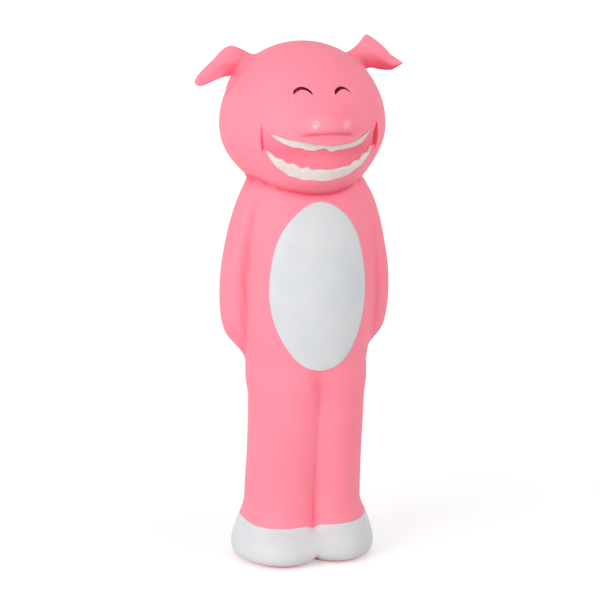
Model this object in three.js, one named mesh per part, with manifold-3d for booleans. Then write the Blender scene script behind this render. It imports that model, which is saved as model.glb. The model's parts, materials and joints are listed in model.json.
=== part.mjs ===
// A squeaking latex dog toy: a standing, grinning pig with a white belly and white feet.
// Millimetres, +Z up. The pig faces -Y and stands on Z = 0, and +X is the viewer's right.
//
// The skin is one hollow piece of latex, as it comes out of its mould: head, ears, arms,
// legs and feet in one. Its outside is sculpted like clay, as a field of lumps and limbs that
// flow into each other, and the inside follows it one wall's thickness deeper.
// The base has a round pour hole with a collar, and the squeaker is pushed into that.
// Belly, feet, teeth and eyes are thin coats of paint, laid on the sculpted skin.
import * as THREE from 'three'
import { mergeVertices } from 'three/addons/utils/BufferGeometryUtils.js'
import Module from 'manifold-3d'

const wasm = await Module()
wasm.setup()

// Lengths of the figure, stacked from the floor
const LEG_LENGTH = 74
const TRUNK_LENGTH = 86
const HEAD_RISE = 21.5

// Head: a ball that is flatter below than above
const HEAD_HALF_WIDTH = 33.9
const HEAD_HALF_DEPTH = 34.5
const HEAD_UP = 33.6
const HEAD_DOWN = 27.5

// Jaw, snout and upper lip, measured from the middle of the head
const JAW = { forward: 8, below: 10.5, halfWidth: 22, halfDepth: 26.5, halfHeight: 18 }
const SNOUT = { forward: 31, above: 4.6, halfWidth: 12.5, halfDepth: 10, halfHeight: 6.2 }
const LIP = { forward: 27.5, below: 3.2, halfWidth: 15, halfDepth: 8, halfHeight: 4.6 }
const NOSTRIL_SPACING = 12.5
const NOSTRIL_RADIUS = 1.7
const NOSTRIL_DEPTH = 1.5
const NOSTRIL_LIFT = 0.3

// Limb profiles. at is the share of the limb's length, x the distance from the middle
const LEG_PROFILE = [
  { at: 0, x: 9.2, y: 1, halfWidth: 15.4, halfDepth: 19 },
  { at: 0.34, x: 8.8, y: 0.4, halfWidth: 15.5, halfDepth: 18.6 },
  { at: 0.62, x: 7.9, y: -2.6, halfWidth: 16, halfDepth: 18.8 },
  { at: 0.89, x: 7.6, y: -5.2, halfWidth: 16.4, halfDepth: 19.4 },
  { at: 1.14, x: 7.6, y: -5.4, halfWidth: 16.7, halfDepth: 20 },
]
const TRUNK_PROFILE = [
  { at: -0.16, x: 0, y: -5.5, halfWidth: 21.5, halfDepth: 18.5 },
  { at: 0.07, x: 0, y: -5.3, halfWidth: 24.5, halfDepth: 21.5 },
  { at: 0.3, x: 0, y: -4.5, halfWidth: 27.3, halfDepth: 24.5 },
  { at: 0.535, x: 0, y: -3.8, halfWidth: 28.5, halfDepth: 25.5 },
  { at: 0.77, x: 0, y: -3.4, halfWidth: 27.4, halfDepth: 24 },
  { at: 0.94, x: 0, y: -2.6, halfWidth: 23.8, halfDepth: 22 },
  { at: 1.14, x: 0, y: 0, halfWidth: 18, halfDepth: 18 },
]
const ARM_PROFILE = [
  { at: 0.16, x: 25.6, y: -2, halfWidth: 5, halfDepth: 6 },
  { at: 0.27, x: 28.8, y: -3, halfWidth: 5.6, halfDepth: 7.8 },
  { at: 0.38, x: 30.1, y: -3.8, halfWidth: 6, halfDepth: 8.6 },
  { at: 0.53, x: 30, y: -4.4, halfWidth: 6.1, halfDepth: 9 },
  { at: 0.66, x: 28.6, y: -4.6, halfWidth: 6, halfDepth: 9 },
  { at: 0.8, x: 25.9, y: -4.6, halfWidth: 5.8, halfDepth: 8.8 },
  { at: 0.93, x: 21.7, y: -4.4, halfWidth: 5.5, halfDepth: 8.2 },
  { at: 1.06, x: 14.5, y: -3.4, halfWidth: 5, halfDepth: 7 },
]
const TRUNK_BOTTOM = -0.03
const ARM_BOTTOM = 0.175

// Feet, measured from the middle of the pair at the floor: a low lump for each foot, with a
// taller one over it for the ankle. Modelled by hand, the right foot stands a little forward
const FOOT = { aside: 11.5, above: 5, halfWidth: 18.1, halfDepth: 24.7, halfHeight: 14.5, down: 20 }
const ANKLE = { aside: 11.5, above: 6, halfWidth: 17.7, halfDepth: 19, halfHeight: 22 }
const RIGHT_FOOT_FORWARD = 0.6
const LEFT_FOOT_BACK = 1.2

// Ears: floppy flaps. Heights are measured from the middle of the head
const EAR = {
  rootX: 15, valleyX: 19.8, crestX: 28.7, tipX: 44.6,
  valleyUp: 26.9, crestUp: 31.9, tipUp: 18.9,
  rootLow: 13.5, lowX: 28.5, lowUp: 20.1, lowTipUp: 14.6,
  back: 4.6, lean: 0.22, halfThickness: 2.3, tipHalfThickness: 1.5, crestRadius: 4,
  tipShare: 0.14, tipHang: 0.25,
}

// Modelled by hand, the left ear stands a little higher than the right one
const LEFT_EAR = { ...EAR, crestX: 30.1, crestUp: 33.4 }
const LEFT_EAR_LIFT = 9.5

// How softly the lumps flow into each other
const BLEND = {
  legs: 1.5, hip: 5, end: 10, ankle: 2, feet: 2, foot: 3, arm: 2.5,
  jaw: 8, snout: 5, lip: 4, neck: 2.5, sole: 5,
}

// The latex wall and the base
const WALL = 2.2
const BASE_WALL = 2.6
const COLLAR_WALL = 2
const COLLAR_LENGTH = 6

// Clearance where one piece rests on, or is held by, another
const GAP = 0.3

// Mouth: a smile pressed into the face, measured from the middle of the head
const MOUTH_HALF_WIDTH = 23.6
const MOUTH_TOP = { below: 3.7, rise: 6.2, power: 2.4 }
const MOUTH_BOTTOM = { below: 19, rise: 12.3, power: 2.7 }
const MOUTH_DEPTH = 1.3
const TOOTH_CLEARANCE = 0.4
const UPPER_TEETH = { halfWidth: 20.6, height: 2.7, endHeight: 0.7, relief: 0.7, wave: 0.3 }
const LOWER_TEETH = { halfWidth: 21.8, height: 4.4, endHeight: 1, relief: 0.7, wave: 0.4 }
const TOOTH_WIDTH = 5.7

// Eyes: arched lines, as of eyes closed by laughter. blunt keeps their ends from closing
const EYE = { aside: 8.1, above: 15.8, halfWidth: 3.8, arch: 2.4, line: 0.75, blunt: 0.1 }

// Paint
const PAINT_THICKNESS = 0.35
const BELLY = { at: 0.517, halfWidth: 20.5, halfHeight: 35 }
const FOOT_PAINT_TOP = 16.9
const FOOT_PAINT_BOTTOM = 1.6

// Squeaker: a barrel with a flange, and a reed pinched between two half plugs
const BARREL_RADIUS = 7.5
const BARREL_WALL = 1.2
const BARREL_LENGTH = 16
const FLANGE_RADIUS = 10
const FLANGE_THICKNESS = 1
const SOUND_HOLE_RADIUS = 2.5
const BARB_HEIGHT = 1
const BARB_LENGTH = 2.2
const PLUG_LENGTH = 4.2
const TONGUE_LENGTH = 8.5
const TONGUE_RADIUS = 4.2
const CHANNEL_WIDTH = 2.4
const CHANNEL_DEPTH = 2.6
const CHANNEL_END = 1
const REED_WIDTH = 5
const REED_THICKNESS = 0.25
const REED_SHORT_OF_TIP = 0.4
const CAP_THICKNESS = 1.2
const CAP_SPIGOT_LENGTH = 1.8
const CAP_SPIGOT_WALL = 1
const CAP_HOLE_RADIUS = 1.3
const CAP_HOLES = 5
const CAP_HOLE_CIRCLE = 3.7

// Fineness of the meshes: columns go round or across, rows go down or up
const COLUMNS = 50
const FRONT_BIAS = 0.4
const HEAD_ROWS = 20
const NECK_ROWS = 6
const TRUNK_ROWS = 18
const ANKLE_ROWS = 4
const SOLE_ROWS = 3
const HOLLOW_FOOT_ROWS = 3
const EAR_SECTIONS = 16
const EAR_POINTS = 14
const MOUTH_GRID = { columns: 28, rows: 5 }
const TEETH_GRID = { columns: 26, rows: 3 }
const EYE_GRID = { columns: 10, rows: 2 }
const BELLY_GRID = { columns: 10, rows: 16 }
const FOOT_PAINT_ROWS = 6
const ROUND_SEGMENTS = 28

// Further out than any of the skin, and how the skin is searched for along a ray
const REACH = 2 * EAR.tipX
const STRIDE = 1.5
const HALVINGS = 24

// Heights that follow from the sizes above
const HIP_Z = LEG_LENGTH
const NECK_Z = HIP_Z + TRUNK_LENGTH
const HEAD_Z = NECK_Z + HEAD_RISE
const FLANGE_TOP_Z = GAP + FLANGE_THICKNESS
const RECESS_Z = FLANGE_TOP_Z + GAP
const FLOOR_Z = RECESS_Z + BASE_WALL
const COLLAR_TOP_Z = RECESS_Z + COLLAR_LENGTH

// Clay: signed distances, negative inside. Two lumps are joined with a fillet between them
function join(a, b, radius) {
  const h = Math.max(radius - Math.abs(a - b), 0) / radius
  return Math.min(a, b) - (h * h * radius) / 4
}

// What two shapes have in common, with the edge between them rounded
function common(a, b, radius) {
  return -join(-a, -b, radius)
}

// An ellipsoid about (x, y, z); down is its lower half-height where that differs
function lump(p, x, y, z, halfWidth, halfDepth, halfHeight, down = halfHeight) {
  const reach = p[2] > z ? halfHeight : down
  const a = (p[0] - x) / halfWidth
  const b = (p[1] - y) / halfDepth
  const c = (p[2] - z) / reach
  const k = Math.hypot(a, b, c)
  return (k * (k - 1)) / (Math.hypot(a / halfWidth, b / halfDepth, c / reach) + 1e-9)
}

// The stations of a limb with their heights, and a smooth curve of each size through them
function limb(profile, bottom, length) {
  const z = profile.map((station) => bottom + station.at * length)
  const curves = {}
  for (const key of ['x', 'y', 'halfWidth', 'halfDepth']) {
    const value = profile.map((station) => station[key])
    const last = value.length - 1
    const slope = value.map((_, i) => {
      const low = Math.max(i - 1, 0)
      const high = Math.min(i + 1, last)
      return (value[high] - value[low]) / (z[high] - z[low])
    })
    curves[key] = { value, slope }
  }
  return { z, curves }
}

// One size of a limb at a height, by cubic pieces between the stations
function sizeAt(shape, key, height) {
  const { z, curves } = shape
  const { value, slope } = curves[key]
  const last = z.length - 1
  const h = Math.min(Math.max(height, z[0]), z[last])
  let i = 0
  while (i < last - 1 && h > z[i + 1]) i += 1
  const span = z[i + 1] - z[i]
  const t = (h - z[i]) / span
  const u = 1 - t
  return (
    u * u * (1 + 2 * t) * value[i] + t * u * u * span * slope[i] +
    t * t * (3 - 2 * t) * value[i + 1] - t * t * u * span * slope[i + 1]
  )
}

// Distance to an upright limb with elliptical sections, on the right (side 1) or left (-1)
function limbDistance(p, shape, side = 1) {
  const halfWidth = sizeAt(shape, 'halfWidth', p[2])
  const halfDepth = sizeAt(shape, 'halfDepth', p[2])
  const a = (p[0] * side - sizeAt(shape, 'x', p[2])) / halfWidth
  const b = (p[1] - sizeAt(shape, 'y', p[2])) / halfDepth
  const k = Math.hypot(a, b)
  return (k * (k - 1)) / (Math.hypot(a / halfWidth, b / halfDepth) + 1e-9)
}

const LEG = limb(LEG_PROFILE, 0, LEG_LENGTH)
const TRUNK = limb(TRUNK_PROFILE, HIP_Z, TRUNK_LENGTH)
const ARM = limb(ARM_PROFILE, HIP_Z, TRUNK_LENGTH)
const TRUNK_BOTTOM_Z = HIP_Z + TRUNK_BOTTOM * TRUNK_LENGTH
const ARM_BOTTOM_Z = HIP_Z + ARM_BOTTOM * TRUNK_LENGTH
const LIMB_OVERLAP = 0.1 * TRUNK_LENGTH

function headField(p) {
  const ball = lump(p, 0, 0, HEAD_Z, HEAD_HALF_WIDTH, HEAD_HALF_DEPTH, HEAD_UP, HEAD_DOWN)
  const jaw = lump(
    p, 0, -JAW.forward, HEAD_Z - JAW.below, JAW.halfWidth, JAW.halfDepth, JAW.halfHeight,
  )
  const snout = lump(
    p, 0, -SNOUT.forward, HEAD_Z + SNOUT.above, SNOUT.halfWidth, SNOUT.halfDepth, SNOUT.halfHeight,
  )
  const lip = lump(
    p, 0, -LIP.forward, HEAD_Z - LIP.below, LIP.halfWidth, LIP.halfDepth, LIP.halfHeight,
  )
  const face = join(join(ball, jaw, BLEND.jaw), lip, BLEND.lip)
  return join(face, snout, BLEND.snout)
}

// A foot, on the right of someone who faces the pig (side 1) or on the left (-1)
function footField(p, side) {
  const y = side > 0 ? LEFT_FOOT_BACK : -RIGHT_FOOT_FORWARD
  const foot = lump(
    p, side * FOOT.aside, y, FOOT.above,
    FOOT.halfWidth, FOOT.halfDepth, FOOT.halfHeight, FOOT.down,
  )
  const ankle = lump(
    p, side * ANKLE.aside, 0, ANKLE.above, ANKLE.halfWidth, ANKLE.halfDepth, ANKLE.halfHeight,
  )
  return join(foot, ankle, BLEND.ankle)
}

function trunkField(p) {
  const legs = common(
    join(limbDistance(p, LEG, 1), limbDistance(p, LEG, -1), BLEND.legs),
    p[2] - (HIP_Z + LIMB_OVERLAP),
    BLEND.end,
  )
  const trunk = common(
    common(limbDistance(p, TRUNK), TRUNK_BOTTOM_Z - p[2], BLEND.end),
    p[2] - (NECK_Z + LIMB_OVERLAP),
    BLEND.end,
  )
  const feet = join(footField(p, -1), footField(p, 1), BLEND.feet)
  const lower = join(join(legs, trunk, BLEND.hip), feet, BLEND.foot)
  const side = p[0] < 0 ? -1 : 1
  const arm = common(
    common(limbDistance(p, ARM, side), ARM_BOTTOM_Z - p[2], BLEND.end),
    p[2] - (NECK_Z + LIMB_OVERLAP),
    BLEND.end,
  )
  return join(lower, arm, BLEND.arm)
}

// The whole skin without its ears, cut flat at the floor
function skinField(p) {
  return common(join(trunkField(p), headField(p), BLEND.neck), -p[2], BLEND.sole)
}

// The hollow inside, one wall deeper and with a flat floor above the base
function hollowField(p) {
  return common(skinField(p) + WALL, FLOOR_Z - p[2], BLEND.sole)
}

// The first place along a ray where a field changes sign. A point on the floor is exactly on it
function crossing(origin, direction, field) {
  const at = (t) => [0, 1, 2].map((i) => origin[i] + direction[i] * t)
  const inside = field(origin) < 0
  let far = STRIDE
  while (far < REACH && field(at(far)) < 0 === inside) far += STRIDE
  let near = far - STRIDE
  for (let i = 0; i < HALVINGS; i += 1) {
    const middle = (near + far) / 2
    if (field(at(middle)) < 0 === inside) near = middle
    else far = middle
  }
  const found = at(near)
  if (Math.abs(found[2]) < 1e-4) found[2] = 0
  return found
}

// The skin's outward normal, from the slope of its field
function normalAt(p) {
  const nudge = 0.05
  const slope = [0, 1, 2].map((i) => {
    const high = p.slice()
    const low = p.slice()
    high[i] += nudge
    low[i] -= nudge
    return skinField(high) - skinField(low)
  })
  const size = Math.hypot(...slope)
  return slope.map((s) => s / size)
}

// A closed mesh through a list of rings with as many points each, between two poles
function ringsGeometry(rings) {
  const positions = rings.flat(2)
  const start = []
  let count = 0
  for (const ring of rings) {
    start.push(count)
    count += ring.length
  }
  const faces = []
  for (let r = 0; r + 1 < rings.length; r += 1) {
    const n = rings[r].length
    const m = rings[r + 1].length
    const a = (i) => start[r] + (i % n)
    const b = (i) => start[r + 1] + (i % m)
    for (let i = 0; i < Math.max(n, m); i += 1) {
      if (n > 1) faces.push(a(i), b(i), a(i + 1))
      if (m > 1) faces.push(a(i + 1), b(i), b(i + 1))
    }
  }
  const geometry = new THREE.BufferGeometry()
  geometry.setAttribute('position', new THREE.Float32BufferAttribute(positions, 3))
  geometry.setIndex(faces)
  return geometry
}

// A closed plate on the skin: a grid of skin points, between two heights above the skin.
// Rows run upwards and columns to the right, as seen from outside
function plateGeometry(grid, low, high) {
  const rows = grid.length
  const columns = grid[0].length
  const lifted = grid.flat().map((p) => ({ p, n: normalAt(p) }))
  const layer = (height) => lifted.map(({ p, n }) => p.map((v, i) => v + n[i] * height))
  const positions = [...layer(low), ...layer(high)].flat()
  const top = rows * columns
  const faces = []
  const quad = (a, b, c, d) => faces.push(a, b, c, a, c, d)
  for (let r = 0; r + 1 < rows; r += 1) {
    for (let c = 0; c + 1 < columns; c += 1) {
      const a = r * columns + c
      quad(top + a, top + a + 1, top + a + columns + 1, top + a + columns)
      quad(a, a + columns, a + columns + 1, a + 1)
    }
  }
  const rim = []
  for (let c = 0; c + 1 < columns; c += 1) rim.push(c)
  for (let r = 0; r + 1 < rows; r += 1) rim.push(r * columns + columns - 1)
  for (let c = columns - 1; c > 0; c -= 1) rim.push((rows - 1) * columns + c)
  for (let r = rows - 1; r > 0; r -= 1) rim.push(r * columns)
  rim.forEach((a, i) => {
    const b = rim[(i + 1) % rim.length]
    quad(a, b, top + b, top + a)
  })
  const geometry = new THREE.BufferGeometry()
  geometry.setAttribute('position', new THREE.Float32BufferAttribute(positions, 3))
  geometry.setIndex(faces)
  return geometry
}

function toSolid(geometry) {
  const bare = geometry.clone()
  bare.deleteAttribute('normal')
  bare.deleteAttribute('uv')
  const welded = mergeVertices(bare, 1e-4)
  return new wasm.Manifold(
    new wasm.Mesh({
      numProp: 3,
      vertProperties: Float32Array.from(welded.attributes.position.array),
      triVerts: Uint32Array.from(welded.index.array),
    }),
  )
}

function toGeometry(solid) {
  const mesh = solid.getMesh()
  const geometry = new THREE.BufferGeometry()
  geometry.setAttribute('position', new THREE.BufferAttribute(mesh.vertProperties, 3))
  geometry.setIndex(new THREE.BufferAttribute(mesh.triVerts, 1))
  return geometry
}

// Angles round the spine, closer together at the front, where the face is
function columnAngle(i, columns) {
  const turn = (2 * Math.PI * i) / columns
  return turn - Math.PI / 2 - FRONT_BIAS * Math.sin(turn)
}

// A ring where rays from the spine meet a field. rise is the ray's climb per millimetre
function ringOnField(z, rise, field, columns) {
  return Array.from({ length: columns }, (_, i) => {
    const angle = columnAngle(i, columns)
    return crossing([0, 0, z], [Math.cos(angle), Math.sin(angle), rise], field)
  })
}

function roundRing(radius, z, columns) {
  return Array.from({ length: columns }, (_, i) => {
    const angle = columnAngle(i, columns)
    return [radius * Math.cos(angle), radius * Math.sin(angle), z]
  })
}

// Where the rays start and how they climb, from the crown down to a height at the feet. In the
// head they fan out from its middle, at the neck they swing level, and below they lie level
function rayFan(headRows, neckRows, trunkRows, footRows, footZ) {
  const neckRise = -0.95
  const shoulderZ = NECK_Z - HEAD_RISE
  const ankleZ = 0.4 * LEG_LENGTH
  const fan = []
  for (let i = 1; i <= headRows; i += 1) {
    const angle = Math.PI / 2 + ((Math.atan(neckRise) - Math.PI / 2) * i) / headRows
    fan.push({ z: HEAD_Z, rise: Math.tan(angle) })
  }
  for (let i = 1; i <= neckRows; i += 1) {
    const t = i / neckRows
    fan.push({ z: HEAD_Z + (shoulderZ - HEAD_Z) * t, rise: neckRise * (1 - t) })
  }
  for (let i = 1; i <= trunkRows; i += 1) {
    fan.push({ z: shoulderZ + ((ankleZ - shoulderZ) * i) / trunkRows, rise: 0 })
  }
  for (let i = 1; i <= footRows; i += 1) {
    fan.push({ z: ankleZ + ((footZ - ankleZ) * i) / footRows, rise: 0 })
  }
  return fan
}

// Upper and lower edge of an ear at a distance x from the middle, above the head's middle.
// The upper edge climbs to a rounded crest and droops to the tip
function earEdges(x, ear) {
  const climb = (ear.crestUp - ear.valleyUp) / (ear.crestX - ear.valleyX)
  const droop = (ear.tipUp - ear.crestUp) / (ear.tipX - ear.crestX)
  const top = join(
    ear.crestUp + climb * (x - ear.crestX) + ear.crestRadius / 4,
    ear.crestUp + droop * (x - ear.crestX) + ear.crestRadius / 4,
    ear.crestRadius,
  )
  const lowSlope = (ear.lowTipUp - ear.lowUp) / (ear.tipX - ear.lowX)
  const rootSlope = (ear.lowUp - ear.rootLow) / (ear.lowX - ear.rootX)
  const low = ear.lowUp + (x < ear.lowX ? rootSlope : lowSlope) * (x - ear.lowX)
  return { top, low }
}

// The flap of an ear, as upright sections from inside the head out to its rounded tip, which
// hangs towards the upper edge's end
function earGeometry(side) {
  const ear = side > 0 ? LEFT_EAR : EAR
  const rings = []
  for (let i = 0; i <= EAR_SECTIONS; i += 1) {
    const share = i / EAR_SECTIONS
    const x = ear.rootX + (ear.tipX - ear.rootX) * share
    const { top, low } = earEdges(x, ear)
    const intoTip = Math.max((share - (1 - ear.tipShare)) / ear.tipShare, 0)
    const closing = Math.sqrt(Math.max(1 - intoTip ** 2, 0))
    const full = (top - low) / 2
    const half = full * closing
    const hang = full * (1 - 2 * ear.tipHang) * (1 - closing)
    const thick = THREE.MathUtils.lerp(ear.halfThickness, ear.tipHalfThickness, share) * closing
    const middle = [side * x, ear.back, HEAD_Z + (top + low) / 2 + hang]
    if (i === 0) rings.push([middle])
    if (i === EAR_SECTIONS) {
      rings.push([middle])
      continue
    }
    rings.push(
      Array.from({ length: EAR_POINTS }, (_, k) => {
        const angle = (-2 * Math.PI * k * side) / EAR_POINTS
        const up = half * Math.sin(angle)
        return [middle[0], middle[1] + ear.lean * up + thick * Math.cos(angle), middle[2] + up]
      }),
    )
  }
  const flap = ringsGeometry(rings)
  if (side > 0) liftEar(flap, LEFT_EAR_LIFT)
  return flap
}

// Turns an ear of the left side up about its root, in the plane of the face
function liftEar(ear, degrees) {
  const rootZ = HEAD_Z + EAR.lowUp
  ear.translate(-EAR.valleyX, 0, -rootZ)
  ear.rotateY(-THREE.MathUtils.degToRad(degrees))
  ear.translate(EAR.valleyX, 0, rootZ)
}

// Heights of the rows of the feet's paint, which are rows of the skin too
function footPaintRows() {
  return steps(FOOT_PAINT_BOTTOM, FOOT_PAINT_TOP, FOOT_PAINT_ROWS)
}

// The outside of the body as a solid figure, from the crown down to its flat sole
function figureGeometry() {
  const rings = [[crossing([0, 0, HEAD_Z], [0, 0, 1], skinField)]]
  for (const { z, rise } of rayFan(HEAD_ROWS, NECK_ROWS, TRUNK_ROWS, ANKLE_ROWS, FOOT_PAINT_TOP)) {
    rings.push(ringOnField(z, rise, skinField, COLUMNS))
  }
  for (const z of footPaintRows().reverse().slice(1)) {
    rings.push(ringOnField(z, 0, skinField, COLUMNS))
  }
  for (const rise of steps(-0.2, -0.4, SOLE_ROWS - 1)) {
    rings.push(ringOnField(FOOT.above, rise, skinField, COLUMNS))
  }
  rings.push([[0, 0, 0]])
  return ringsGeometry(rings)
}

// The hollow inside, from the crown down to the floor, then round the collar and out through
// the pour hole and the flange's recess
function hollowGeometry() {
  const belowFloor = -1
  const hole = BARREL_RADIUS + GAP
  const collar = hole + COLLAR_WALL
  const columns = COLUMNS / 2
  const footZ = FLOOR_Z + BLEND.sole
  const fan = rayFan(HEAD_ROWS / 2, NECK_ROWS / 2, TRUNK_ROWS / 2, HOLLOW_FOOT_ROWS, footZ)
  const rings = [[crossing([0, 0, HEAD_Z], [0, 0, 1], hollowField)]]
  for (const { z, rise } of fan) {
    rings.push(ringOnField(z, rise, hollowField, columns))
  }
  for (const rise of [-0.1, -0.25, -0.4]) {
    rings.push(ringOnField(footZ, rise, hollowField, columns))
  }
  rings.push(roundRing(collar, FLOOR_Z, columns))
  rings.push(roundRing(collar, COLLAR_TOP_Z, columns))
  rings.push(roundRing(hole, COLLAR_TOP_Z, columns))
  rings.push(roundRing(hole, RECESS_Z, columns))
  rings.push(roundRing(FLANGE_RADIUS + GAP, RECESS_Z, columns))
  rings.push(roundRing(FLANGE_RADIUS + GAP, belowFloor, columns))
  rings.push([[0, 0, belowFloor]])
  return ringsGeometry(rings)
}

// The skin's point straight behind (x, z) in the front view
function frontPoint(x, z) {
  return crossing([x, -REACH, z], [0, 1, 0], skinField)
}

// A grid of points between two values
function steps(from, to, count) {
  return Array.from({ length: count + 1 }, (_, i) => from + ((to - from) * i) / count)
}

// A band across the face: columns from -halfWidth to halfWidth, rows between two curves of x
function bandGrid(middle, halfWidth, fineness, lower, upper) {
  return steps(0, 1, fineness.rows).map((v) =>
    steps(-halfWidth, halfWidth, fineness.columns).map((x) => {
      const low = lower(x)
      return frontPoint(middle + x, low + (upper(x) - low) * v)
    }),
  )
}

// Height of one of the mouth's edges at x
function smile(edge, x) {
  return HEAD_Z - edge.below + edge.rise * Math.abs(x / MOUTH_HALF_WIDTH) ** edge.power
}

// The space pressed into the face for the mouth, reaching out past the skin
function mouthCutter() {
  const pastSkin = 4
  const grid = bandGrid(
    0, MOUTH_HALF_WIDTH, MOUTH_GRID,
    (x) => smile(MOUTH_BOTTOM, x),
    (x) => smile(MOUTH_TOP, x),
  )
  return plateGeometry(grid, -MOUTH_DEPTH, pastSkin)
}

// Height of a row of teeth at x: full in the middle, thin at its ends, and a little uneven
function toothHeight(teeth, x) {
  const share = Math.min(Math.abs(x) / teeth.halfWidth, 1)
  const taper = Math.sqrt(1 - share ** 2)
  const turn = (2 * Math.PI * x) / TOOTH_WIDTH
  const uneven = teeth.wave * Math.sin(turn) * Math.sin(turn / Math.E + 1)
  return teeth.endHeight + (teeth.height - teeth.endHeight + uneven) * taper
}

// A row of teeth stands on the mouth's floor and hugs one of its edges
function teethGeometry(teeth, edge, upwards) {
  const outer = (x) => smile(edge, x) + upwards * TOOTH_CLEARANCE
  const inner = (x) => outer(x) + upwards * toothHeight(teeth, x)
  const [lower, upper] = upwards > 0 ? [outer, inner] : [inner, outer]
  const grid = bandGrid(0, teeth.halfWidth, TEETH_GRID, lower, upper)
  const low = GAP - MOUTH_DEPTH
  return plateGeometry(grid, low, low + teeth.relief)
}

// An eye: an arched line
function eyeGeometry(side) {
  const arch = (x) => HEAD_Z + EYE.above + EYE.arch * (1 - (x / EYE.halfWidth) ** 2)
  const half = (x) => (EYE.line / 2) * Math.sqrt(1 + EYE.blunt - (x / EYE.halfWidth) ** 2)
  const grid = bandGrid(
    side * EYE.aside, EYE.halfWidth, EYE_GRID,
    (x) => arch(x) - half(x),
    (x) => arch(x) + half(x),
  )
  return plateGeometry(grid, GAP, GAP + PAINT_THICKNESS)
}

// The belly's oval: a square grid drawn onto an ellipse
function bellyGeometry() {
  const z = HIP_Z + BELLY.at * TRUNK_LENGTH
  const grid = steps(-1, 1, BELLY_GRID.rows).map((v) =>
    steps(-1, 1, BELLY_GRID.columns).map((u) =>
      frontPoint(
        BELLY.halfWidth * u * Math.sqrt(1 - (v * v) / 2),
        z + BELLY.halfHeight * v * Math.sqrt(1 - (u * u) / 2),
      ),
    ),
  )
  return plateGeometry(grid, GAP, GAP + PAINT_THICKNESS)
}

// A foot's coat of paint, from the parting in front round its side to the parting behind, on
// the same columns as the skin. The left foot's is built, and the right foot's is its mirror
function footPaintGeometry(side) {
  const grid = footPaintRows().map((z) => {
    const row = []
    for (let i = 1; i < COLUMNS / 2; i += 1) {
      const angle = columnAngle(i, COLUMNS)
      row.push(crossing([0, 0, z], [side * Math.cos(angle), Math.sin(angle), 0], skinField))
    }
    return side > 0 ? row : row.reverse()
  })
  return plateGeometry(grid, GAP, GAP + PAINT_THICKNESS)
}

// A turned piece about the squeaker's upright axis, from a closed profile of (radius, z)
function turned(profile) {
  const points = profile.map(([radius, z]) => new THREE.Vector2(radius, z))
  points.push(points[0].clone())
  const geometry = new THREE.LatheGeometry(points, ROUND_SEGMENTS)
  geometry.rotateX(Math.PI / 2)
  return geometry
}

// A plate of a flat shape, standing up from z
function raised(shape, z, height) {
  const geometry = new THREE.ExtrudeGeometry(shape, {
    depth: height,
    bevelEnabled: false,
    curveSegments: 7,
  })
  geometry.translate(0, 0, z)
  return geometry
}

const BORE_RADIUS = BARREL_RADIUS - BARREL_WALL
const BARREL_TOP_Z = FLANGE_TOP_Z + BARREL_LENGTH
const SEAT_Z = FLANGE_TOP_Z + BARREL_WALL
const PLUG_Z = SEAT_Z + GAP
const PLUG_TOP_Z = PLUG_Z + PLUG_LENGTH
const TONGUE_TOP_Z = PLUG_TOP_Z + TONGUE_LENGTH
const FACE_Y = REED_THICKNESS / 2 + GAP

// The housing: a flange with the sound hole, a barrel open at the top, and a barb that sits
// above the collar and keeps the squeaker in
function housingGeometry() {
  const barbZ = COLLAR_TOP_Z + GAP
  return turned([
    [SOUND_HOLE_RADIUS, GAP],
    [FLANGE_RADIUS, GAP],
    [FLANGE_RADIUS, FLANGE_TOP_Z],
    [BARREL_RADIUS, FLANGE_TOP_Z],
    [BARREL_RADIUS, barbZ],
    [BARREL_RADIUS + BARB_HEIGHT, barbZ],
    [BARREL_RADIUS, barbZ + BARB_LENGTH],
    [BARREL_RADIUS, BARREL_TOP_Z],
    [BORE_RADIUS, BARREL_TOP_Z],
    [BORE_RADIUS, SEAT_Z],
    [SOUND_HOLE_RADIUS, SEAT_Z],
  ])
}

// Part of a round disc beyond a straight face, on the -Y side (side -1) or the +Y side (1)
function halfDisc(radius, side) {
  const start = Math.asin(FACE_Y / radius)
  const shape = new THREE.Shape()
  if (side > 0) shape.absarc(0, 0, radius, start, Math.PI - start, false)
  else shape.absarc(0, 0, radius, Math.PI + start, 2 * Math.PI - start, false)
  shape.closePath()
  return shape
}

// The reed's block: a half plug and a slimmer tongue, with a channel that the reed lies over
function reedBlockGeometry() {
  const overlap = 0.5
  const plug = toSolid(raised(halfDisc(BORE_RADIUS - GAP, -1), PLUG_Z, PLUG_LENGTH))
  const tongueZ = PLUG_TOP_Z - overlap
  const tongue = toSolid(raised(halfDisc(TONGUE_RADIUS, -1), tongueZ, TONGUE_LENGTH + overlap))
  const channelTop = TONGUE_TOP_Z - CHANNEL_END
  const channel = new THREE.BoxGeometry(CHANNEL_WIDTH, 2 * CHANNEL_DEPTH, channelTop - SEAT_Z)
  channel.translate(0, -FACE_Y, (channelTop + SEAT_Z) / 2)
  return toGeometry(plug.add(tongue).subtract(toSolid(channel)))
}

// The reed's clamp: the other half plug
function reedClampGeometry() {
  return toGeometry(toSolid(raised(halfDisc(BORE_RADIUS - GAP, 1), PLUG_Z, PLUG_LENGTH)))
}

// The reed: a thin strip with a round end, standing between the half plugs
function reedGeometry() {
  const half = REED_WIDTH / 2
  const top = TONGUE_TOP_Z - REED_SHORT_OF_TIP - half
  const shape = new THREE.Shape()
  shape.moveTo(-half, PLUG_Z)
  shape.lineTo(half, PLUG_Z)
  shape.lineTo(half, top)
  shape.absarc(0, top, half, 0, Math.PI, false)
  shape.closePath()
  const geometry = new THREE.ExtrudeGeometry(shape, {
    depth: REED_THICKNESS,
    bevelEnabled: false,
    curveSegments: 8,
  })
  geometry.translate(0, 0, -REED_THICKNESS / 2)
  geometry.rotateX(Math.PI / 2)
  return geometry
}

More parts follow.
